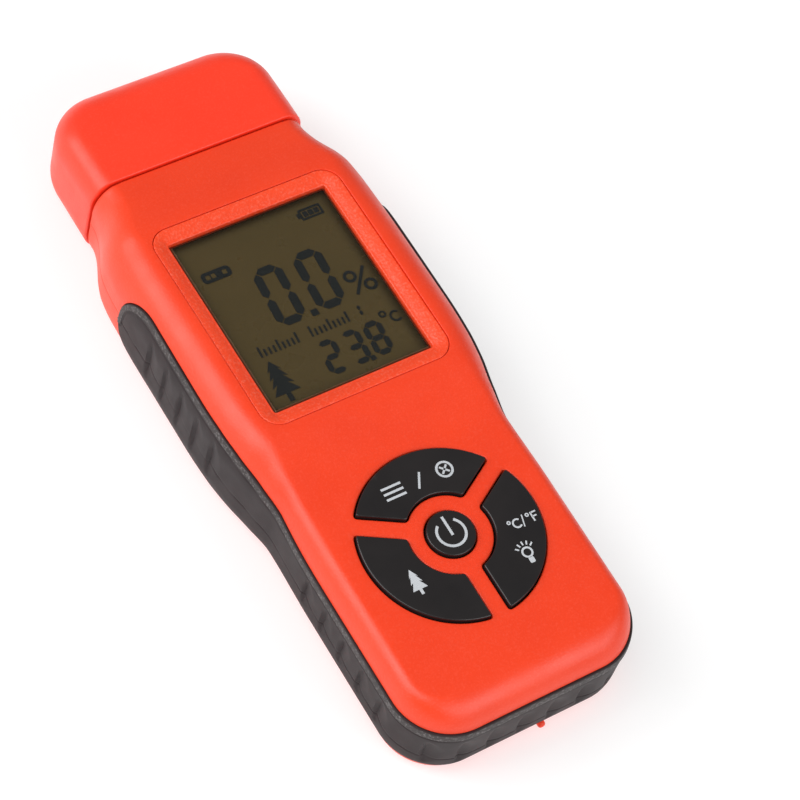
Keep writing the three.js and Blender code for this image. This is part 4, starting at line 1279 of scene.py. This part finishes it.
def light_sign(ink):
    x, y = 11.2, RING_Y - 10.0
    ink.ring(x, y, 1.0, 0.4)
    ink.shape(rounded_rect(1.1, 1.3, 0.3, 4) + [x, y - 1.75])
    for deg in (38, 64, 90, 116, 142):
        c, s = math.cos(math.radians(deg)), math.sin(math.radians(deg))
        ink.bar(x + 1.6 * c, y + 1.6 * s, x + 2.45 * c, y + 2.45 * s, 0.32)
    # The two temperature units with a stroke between them.
    tall = 2.1
    u, v = 10.9, RING_Y - 4.9
    ink.ring(u + 0.3, v + tall - 0.3, 0.3, 0.26)
    ink.ring(u + 1.85, v + tall / 2, 0.88, 0.36, 42, 318)
    ink.bar(u + 2.85, v - 0.2, u + 3.55, v + tall + 0.2, 0.26)
    ink.ring(u + 4.5, v + tall - 0.3, 0.3, 0.26)
    ink.bar(u + 5.35, v, u + 5.35, v + tall, 0.34)
    ink.bar(u + 5.4, v + tall - 0.18, u + 6.5, v + tall - 0.18, 0.34)
    ink.bar(u + 5.4, v + tall / 2, u + 6.3, v + tall / 2, 0.32)


for name, draw in (("power", power_sign), ("mode", mode_sign), ("tree", tree_sign), ("light", light_sign)):
    key(name)
    legend(name, draw)


# ---------------------------------------------------------------- battery door

def door_flat_end(x):
    """y where the back face starts to round up at the handle's end."""
    aside = np.clip(np.abs(x) - CORNER_X, 0, None)
    return CORNER_Y - np.sqrt((CORNER_R - BACK_ROUND_IN) ** 2 - aside ** 2)


def door_point(x, q, g):
    """Point on the door at distance q from its hinge, lifted out by g."""
    x, q, g = (np.asarray(a, float) for a in np.broadcast_arrays(x, q, g))
    flat_end = door_flat_end(x)
    flat_long = HINGE_Y - flat_end
    arc = rounding(np.zeros(1), -1)[2][0]
    turn = np.interp(np.clip(q - flat_long, 0, None), arc, QUARTER)
    inset = BACK_ROUND_IN * (1 - np.cos(turn))
    aside = np.clip(np.abs(x) - CORNER_X, 0, None)
    y_round = CORNER_Y - np.sqrt((CORNER_R - inset) ** 2 - aside ** 2)
    y = np.where(q < flat_long, HINGE_Y - q, y_round)
    z = np.where(q < flat_long, 0, BACK_ROUND_DOWN * (1 - np.sin(turn)))
    level, up = np.cos(turn) / BACK_ROUND_IN, np.sin(turn) / BACK_ROUND_DOWN
    size = np.hypot(level, up)
    lean = aside / (CORNER_R - inset) * np.sign(x)
    level = np.where(q < flat_long, 0, level / size)
    up = np.where(q < flat_long, 1, up / size)
    return np.stack([x + g * level * lean, y - g * level * np.sqrt(1 - lean ** 2), z - g * up], -1)


DOOR_EDGE_R = 0.3
RIBS = 6
RIB_START = 38.0                    # from the hinge to the first finger rib
RIB_PITCH = 1.6
RIB_DEPTH = 0.35
KNUCKLE_R = 1.0
NUB = 1.6                           # width and height of the nub that a fingernail lifts
NUB_Z = 3.4


def battery_door():
    """The door with its finger ribs, hinge knuckles and nub."""
    build = Build()
    x = np.linspace(-DOOR_HALF_W, DOOR_HALF_W, 41)
    arc = rounding(np.zeros(1), -1)[2][0]
    heights = BACK_ROUND_DOWN * (1 - np.sin(QUARTER))
    reach = float(np.interp(DOOR_TOP, heights, arc))
    far = (HINGE_Y - door_flat_end(x)) + reach
    r = DOOR_EDGE_R
    end = np.column_stack([x, far])
    loop = np.vstack([
        spread(np.array([[-DOOR_HALF_W, 0.5], [DOOR_HALF_W, 0.5]]), 1.2)[:-1],
        spread(np.array([[DOOR_HALF_W, 0.5], [DOOR_HALF_W, far[-1]]]), 1.2)[:-1],
        end[::-1][:-1],
        spread(np.array([[-DOOR_HALF_W, far[0]], [-DOOR_HALF_W, 0.5]]), 1.2)[:-1],
    ])
    chain = Chain()
    chain.add(door_point, loop, -outward(loop))
    skin_rows(build, chain, r, SKIN)
    inner = loop - r * outward(loop)
    flat, faces = triangles([inner], (0.9, 0.6))
    # Finger ribs near the end that opens.
    ribs = np.zeros(len(flat))
    for k in range(RIBS):
        centre = RIB_START + RIB_PITCH * k
        wide = 9.5 - 0.4 * k
        across = np.clip((wide - np.abs(flat[:, 0])) / 0.8, 0, 1)
        ribs -= RIB_DEPTH * np.exp(-((flat[:, 1] - centre) / 0.42) ** 2) * across
    build.add(door_point(flat[:, 0], flat[:, 1], ribs), faces)
    build.add(door_point(flat[:, 0], flat[:, 1], -SKIN), faces)
    # Hinge barrel with knuckles.
    knuckles = (
        (-DOOR_HALF_W, -12.0, KNUCKLE_R), (-11.6, 11.6, KNUCKLE_R - 0.04), (12.0, DOOR_HALF_W, KNUCKLE_R),
    )
    for x0, x1, radius in knuckles:
        rows = turned([(0.01, x0), (radius - 0.15, x0), (radius, x0 + 0.15), (radius, x1 - 0.15),
                       (radius - 0.15, x1), (0.01, x1)], 24)
        rows = np.stack([rows[..., 2], HINGE_Y + rows[..., 0], HINGE_Z + rows[..., 1]], -1)
        build.grid(rows, closed=True)
        build.fill(rows[0])
        build.fill(rows[-1])
    # The nub.
    rows = []
    for y, d in ((-76.2, 0), (-78.45, 0.0), (-78.75, 0.1), (-78.93, 0.28), (-79.0, 0.55)):
        loop = rounded_rect(NUB - 2 * d, NUB - 2 * d, 0.75 - d, 6)
        rows.append(np.column_stack([TAB_X + loop[:, 0], np.full(len(loop), y), NUB_Z + loop[:, 1]]))
    build.grid(rows, closed=True)
    build.fill(rows[0])
    build.fill(rows[-1])
    return build.object("battery_door_moulding", [RED], "battery_door", "red_shell", ["battery_door"])


battery_door()

# ---------------------------------------------------------------- cap

cap_front = through(CAP_FRONT_Z)


def cap_ring(y_side, grow, end_arc=24):
    """Right half stations of the cap's plan outline: along the side, then round the corner."""
    stations = [(CAP["half_w"], y, 1.0, 0.0, g) for y, g in zip(y_side, grow)]
    for a in np.linspace(0, PI / 2, end_arc + 1):
        nx, ny = math.cos(a), math.sin(a)
        stations.append((CAP["half_w"] - CAP["corner"] + CAP["corner"] * nx,
                         CAP["y1"] - CAP["corner"] + CAP["corner"] * ny, nx, ny, grow[-1]))
    return np.array(stations)


def cap_levels(stations, steps=14):
    """Points of the right half for every level from the back face's edge up to the front face's edge."""
    x, y, nx, ny, g = stations.T
    end = ny ** 2
    rows = []
    for side in (-1, 1):
        for step in range(steps + 1):
            turn = (1 - step / steps if side < 0 else step / steps) * PI / 2
            end_round = CAP_BACK_END if side < 0 else CAP_ROUND
            inset = (CAP_SIDE * (1 - end) + end_round * end + 0.5 * g) * (1 - math.cos(turn)) - g
            drop = (CAP_ROUND + 0.5 * g) * (1 - math.sin(turn))
            py = y - inset * ny
            z = CAP["bottom"] - g + drop if side < 0 else cap_front(py) + g - drop
            rows.append(np.stack([x - inset * nx, py, z], 1))
    return np.array(rows)


def mirror_sheet(line):
    """Rows of points between a line on the right and its mirror on the left."""
    share = np.linspace(1, -1, 41)[:, None]
    return np.stack([line[:, 0] * share, line[:, 1] + 0 * share, line[:, 2] + 0 * share], -1)


def cap():
    """The pull-off cap: an outer and an inner shell joined at the lip."""
    build = Build()
    r = 0.4
    wall = CAP["wall"]
    turns = np.linspace(PI / 2, 0, 6)
    side_y = list(np.linspace(CAP["y0"] + 1.2, CAP["y1"] - CAP["corner"] - 0.8, 10))
    lip_y = [CAP["y0"] + r * (1 - math.sin(a)) for a in turns]
    lip_out = [-r * (1 - math.cos(a)) for a in turns]
    outer = cap_levels(cap_ring(lip_y + side_y, lip_out + [0.0] * len(side_y)))
    lip_in = [-wall + r * (1 - math.cos(a)) for a in turns]
    inner = cap_levels(cap_ring(lip_y + side_y, lip_in + [-wall] * len(side_y)))
    edges = []
    for shell in (outer, inner):
        mirrored = shell * np.array([-1, 1, 1])
        build.grid(shell)
        build.grid(mirrored)
        faces = []
        for level in (0, -1):
            strip = mirror_sheet(shell[level])
            build.grid(strip)
            faces.append(strip[:, 0])
        # The lip's closed loop: up the right side, over the face, down the left, back under.
        edges.append(np.vstack([shell[:, 0], faces[1][1:-1], mirrored[::-1, 0], faces[0][::-1][1:-1]]))
        build.grid(mirror_sheet(shell[:, -1]))
    build.grid(edges, closed=True)
    return build.object("cap_moulding", [RED_CAP], "cap", "red_cap", ["cap"])


cap()

# ---------------------------------------------------------------- pin block, pins and inserts

def across(loop, y):
    """A loop in (x, height) stood across the meter at y, about the pins' height."""
    return np.column_stack([loop[:, 0], np.full(len(loop), float(y)), PIN_Z + loop[:, 1]])


# Half width, half height and corner of each step, and where it starts and ends along the meter.
BLOCK_TENON = (20.6, 8.2, 3.0, 49.6, 55.8)
BLOCK_COLLAR = (22.4, 8.9, 4.0, 55.8, 58.2)
BLOCK_NOSE = (20.4, 7.6, 3.4, 58.2, 62.5)
BLOCK_EDGE_R = 0.4
BORE_R = 2.8
BORE_RIM_R = 0.25
BORE_DEPTH = 9.0


def block_loop(step, shrink):
    half_w, half_h, corner = step[:3]
    return rounded_rect(2 * (half_w - shrink), 2 * (half_h - shrink), max(corner - shrink, 0.1), 10, 20)


def pin_block():
    """The stepped block at the mouth, with a bore for each pin's insert."""
    build = Build()
    r = BLOCK_EDGE_R
    soft = [(r * (1 - math.cos(a)), r * (1 - math.sin(a))) for a in np.linspace(0, PI / 2, 5)]
    rows = [across(block_loop(BLOCK_TENON, 0), y) for y in BLOCK_TENON[3:]]
    for step in (BLOCK_COLLAR, BLOCK_NOSE):
        start, stop = step[3:]
        rows += [across(block_loop(step, 0), start), across(block_loop(step, 0), stop - r)]
        rows += [across(block_loop(step, d), stop - e) for d, e in soft]
    build.grid(rows, closed=True)
    build.fill(rows[0])
    face_y = BLOCK_NOSE[4]
    bores = [circle(BORE_R, side * PIN_X, 0, 40) for side in (-1, 1)]
    rims = [bore + BORE_RIM_R * outward(bore) for bore in bores]
    flat, faces = triangles([block_loop(BLOCK_NOSE, r), *rims], (1.4, 1.4))
    build.add(across(flat, face_y), faces)
    for bore in bores:
        n = outward(bore)
        bore_rows = [across(bore + n * e, face_y + g) for e, g in roll_over(BORE_RIM_R, BORE_DEPTH)[:-1]]
        build.grid(bore_rows, closed=True)
        build.fill(bore_rows[-1])
    # The key rib on top, which the cap's mouth passes over.
    rib = [across(rounded_rect(4.4 - 2 * d, 4.0 - 2 * d, 0.6 - d / 2, 5) + [0, 6.3], y)
           for d, y in ((0, 55.9), (0, 60.1), (0.12, 60.38), (0.4, 60.5))]
    build.grid(rib, closed=True)
    build.fill(rib[0])
    build.fill(rib[-1])
    return build.object("pin_block_moulding", [RED], "housing", "red_shell", ["pin_block"])


pin_block()


PIN_TIP_Y = 76.4
PIN_POINT = 4.2                     # length of the pin's ground point
HEX_FLAT_R = 2.5
# (place along the pin, radius) of the hexagon's turned chamfers.
HEX_TURNED = [(62.8, 2.42), (63.05, 2.62), (63.3, 2.9), (65.8, 2.9), (66.05, 2.62), (66.3, 2.42)]


def pin(side_name, side):
    """A pin with its hexagon, and the threaded insert that it screws into."""
    build = Build()
    n = 48
    point = PIN_TIP_Y - PIN_POINT
    needle = turned([
        (0.02, 55.2), (1.15, 55.2), (1.15, 66.0), (1.55, 66.3), (1.55, 66.6), (1.1, 66.9), (1.1, point - 0.3),
        (1.02, point), (0.14, PIN_TIP_Y - 0.1), (0.06, PIN_TIP_Y), (0.01, PIN_TIP_Y),
    ], n)
    lay = lambda rows: np.stack([side * PIN_X + rows[..., 0], rows[..., 2], PIN_Z + rows[..., 1]], -1)
    build.grid(lay(needle), closed=True)
    build.fill(lay(needle)[0])
    build.fill(lay(needle)[-1])
    a = np.arange(n) / n * 2 * PI
    hex_r = HEX_FLAT_R / np.cos((a + PI / 6) % (PI / 3) - PI / 6)
    rows = []
    for y, limit in HEX_TURNED:
        r = np.minimum(hex_r, limit)
        rows.append(np.stack([side * PIN_X + r * np.cos(a), np.full(n, y), PIN_Z + r * np.sin(a)], 1))
    build.grid(rows, closed=True)
    build.fill(rows[0])
    build.fill(rows[-1])
    build.object(f"pin_{side_name}_turned", [CHROME], "housing", "chrome", [f"pin_{side_name}"])

    insert = Build()
    sleeve = [(1.5, 54.5), (2.5, 54.5), (2.5, 61.95), (2.35, 62.2), (1.65, 62.2), (1.5, 62.05), (1.5, 54.5)]
    insert.grid(lay(turned(sleeve, n)), closed=True)
    insert.object(f"pin_insert_{side_name}_turned", [BRASS], "housing", "brass", [f"pin_insert_{side_name}"])


for side_name, side in (("left", -1), ("right", 1)):
    pin(side_name, side)

# ---------------------------------------------------------------- cells, contacts and screws

CELL_Y = -50.8
CELL_LENGTH = 44.5
CELL_Z = 7.6
CELL_PITCH = 10.9


def cell(side_name, column):
    """A sleeved AAA cell; the middle one lies the other way round."""
    build = Build()
    half = CELL_LENGTH / 2
    r = 5.2
    profile = [
        (0.02, -half + 0.25), (3.4, -half + 0.25), (3.6, -half + 0.5), (4.3, -half + 0.5),
        (4.7, -half + 0.55), (r, -half + 1.0), (r, half - 14.0), (r, half - 2.0),
        (4.85, half - 1.5), (4.5, half - 1.5),
        (4.2, half - 1.25), (1.95, half - 1.2), (1.9, half - 0.15), (1.7, half), (0.02, half),
    ]
    marks = [1, 1, 1, 0, 0, 0, 2, 0, 0, 1, 1, 1, 1, 1]
    turn = -1 if column == 0 else 1
    rows = turned(profile, 56)
    x, y, z = rows[..., 0], rows[..., 2], rows[..., 1]
    rows = np.stack([column * CELL_PITCH + x, CELL_Y + turn * y, CELL_Z + z], -1)
    for i, mark in enumerate(marks):
        build.grid(rows[i:i + 2], closed=True, mark=mark)
    build.fill(rows[0], 1)
    build.fill(rows[-1], 1)
    build.object(f"cell_{side_name}", [SLEEVE, STEEL, SLEEVE_BAND], "housing", "cell_wrap",
                 [f"battery_cell_{side_name}"])


for side_name, column in (("left", -1), ("middle", 0), ("right", 1)):
    cell(side_name, column)


SCREW_HEAD_R = 2.4
SCREW_HEAD_Z = (3.6, 5.35)
SCREW_SHANK_R = 1.1
SCREW_TIP_Z = 18.0
RECESS_DEPTH = 1.0
RECESS_TAPER = 0.8                  # size of the cross at the bottom of the recess


def screw(place):
    """A pan-head case screw with a cross recess."""
    x, y = SCREWS[place]
    build = Build()
    head = SCREW_HEAD_R
    shank = SCREW_SHANK_R
    z0, z1 = SCREW_HEAD_Z
    rows = turned([
        (head - 0.5, z0), (head - 0.15, z0 + 0.15), (head, z0 + 0.5), (head, z1),
        (shank, z1), (shank, SCREW_TIP_Z - 0.2), (0.02, SCREW_TIP_Z),
    ], 40)
    rows[..., 0] += x
    rows[..., 1] += y
    build.grid(rows, closed=True)
    build.fill(rows[-1])
    # Cross recess.
    arm, half = 1.35, 0.32
    quarter = np.array([(arm, -half), (arm, half), (half, half)])
    half_cross = np.vstack([quarter, [(half, arm), (-half, arm), (-half, half)]])
    cross = np.vstack([half_cross, -half_cross])
    mouth = cross + [x, y]
    bottom = cross * RECESS_TAPER + [x, y]
    rim = circle(head - 0.5, x, y, 40)
    flat, faces = triangles([rim, mouth], (9, 9))
    build.add(at_height(flat, z0), faces)
    build.grid([at_height(mouth, z0), at_height(bottom, z0 + RECESS_DEPTH)], closed=True)
    flat, faces = triangles([bottom], (9, 9))
    build.add(at_height(flat, z0 + RECESS_DEPTH), faces)
    build.object(f"screw_{place}", [STEEL], "housing", "steel", [f"case_screw_{place}"])


for place in SCREWS:
    screw(place)


SPRING_TURNS = 3.2
SPRING_WIRE_R = 0.26
PLATE_REACH = 23.2                  # from the cells' middle to a contact plate's face


def contact_springs():
    """A flat cone spring for every cell, at the end where its sleeve is closed."""
    build = Build()
    for column in (-1, 0, 1):
        x = column * CELL_PITCH
        spring_end = -1 if column != 0 else 1
        plate_y = CELL_Y + spring_end * PLATE_REACH
        a = np.linspace(0, 2 * PI * SPRING_TURNS, 96)
        r = np.linspace(3.6, 2.0, len(a))
        y = plate_y - spring_end * np.linspace(0.1, 1.05, len(a))
        path = np.stack([x + r * np.cos(a), y, CELL_Z + r * np.sin(a)], 1)
        rows = tube(path, SPRING_WIRE_R, 8)
        build.grid(rows, closed=True)
        build.fill(rows[0])
        build.fill(rows[-1])
    build.object("contact_springs", [STEEL], "housing", "steel")


contact_springs()

# ---------------------------------------------------------------- CAD pieces that keep their shape

FINISH = {
    "lcd_panel": LCD, "lcd_backlight": BACKLIGHT, "lcd_connector_upper": ELASTOMER,
    "lcd_connector_lower": ELASTOMER, "circuit_board": BOARD, "measuring_chip": BLACK, "buzzer": BLACK,
    "battery_contact_upper": STEEL, "battery_contact_lower": STEEL,
}
for name in ("power", "mode", "tree", "light"):
    FINISH[f"{name}_switch"] = BLACK
    FINISH[f"{name}_switch_plunger"] = BLACK
for name, finish in FINISH.items():
    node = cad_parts[name]
    node.data.materials.clear()
    node.data.materials.append(finish)

# ---------------------------------------------------------------- floor, light and camera

def floor():
    """A pale studio floor, just below the plane that the meter rests on."""
    build = Build()
    x = np.linspace(-1500, 1500, 31)
    build.grid([[(a, b, -0.05) for a in x] for b in x])
    mesh = bpy.data.meshes.new("floor")
    mesh.from_pydata((np.concatenate(build.points) * MM).tolist(), [], build.faces)
    piece = bpy.data.objects.new("floor", mesh)
    bpy.context.scene.collection.objects.link(piece)
    paper = shader("pale_floor", (196, 196, 196), 0.7, vary=0.01, spec=0.2)
    main = paper.node_tree.nodes["Principled BSDF"]
    main.inputs["Emission Color"].default_value = (1, 1, 1, 1)
    main.inputs["Emission Strength"].default_value = 0.50
    mesh.materials.append(paper)


def lamp(name, place, aim, size, power):
    data = bpy.data.lights.new(name, "AREA")
    data.shape = "RECTANGLE"
    data.size, data.size_y = size
    data.energy = power
    lamp_object = bpy.data.objects.new(name, data)
    bpy.context.scene.collection.objects.link(lamp_object)
    lamp_object.location = place
    lamp_object.rotation_mode = "QUATERNION"
    lamp_object.rotation_quaternion = (Vector(aim) - Vector(place)).to_track_quat("-Z", "Y")


floor()
lamp("softbox_left", (-0.76, 0.40, 0.60), (0, 0, 0), (0.7, 0.9), 7.6)
lamp("softbox_front", (0.30, -0.78, 0.55), (0, 0, 0), (0.9, 0.5), 4.6)
lamp("softbox_top", (-0.50, -0.10, 1.0), (0, 0, 0), (0.6, 0.6), 3.8)

world = bpy.data.worlds.new("studio")
bpy.context.scene.world = world
world.use_nodes = True
world.node_tree.nodes["Background"].inputs["Color"].default_value = (1, 1, 1, 1)
world.node_tree.nodes["Background"].inputs["Strength"].default_value = 0.30
bpy.context.scene.view_settings.view_transform = "Standard"

camera_data = bpy.data.cameras.new("camera")
camera = bpy.data.objects.new("camera", camera_data)
bpy.context.scene.collection.objects.link(camera)
bpy.context.scene.camera = camera
camera_data.lens = 135.0
camera_data.sensor_width = 36.0
camera_data.clip_start = 0.01
camera.rotation_mode = "QUATERNION"
# The columns are the camera's directions to the right, up and backwards.
CAMERA_AXES = Matrix(((0.8420, 0.3614, -0.4006), (-0.5070, 0.7835, -0.3591), (0.1840, 0.5055, 0.8429)))
camera.rotation_quaternion = CAMERA_AXES.to_quaternion()
camera.location = (-0.22794, -0.22332, 0.51736)
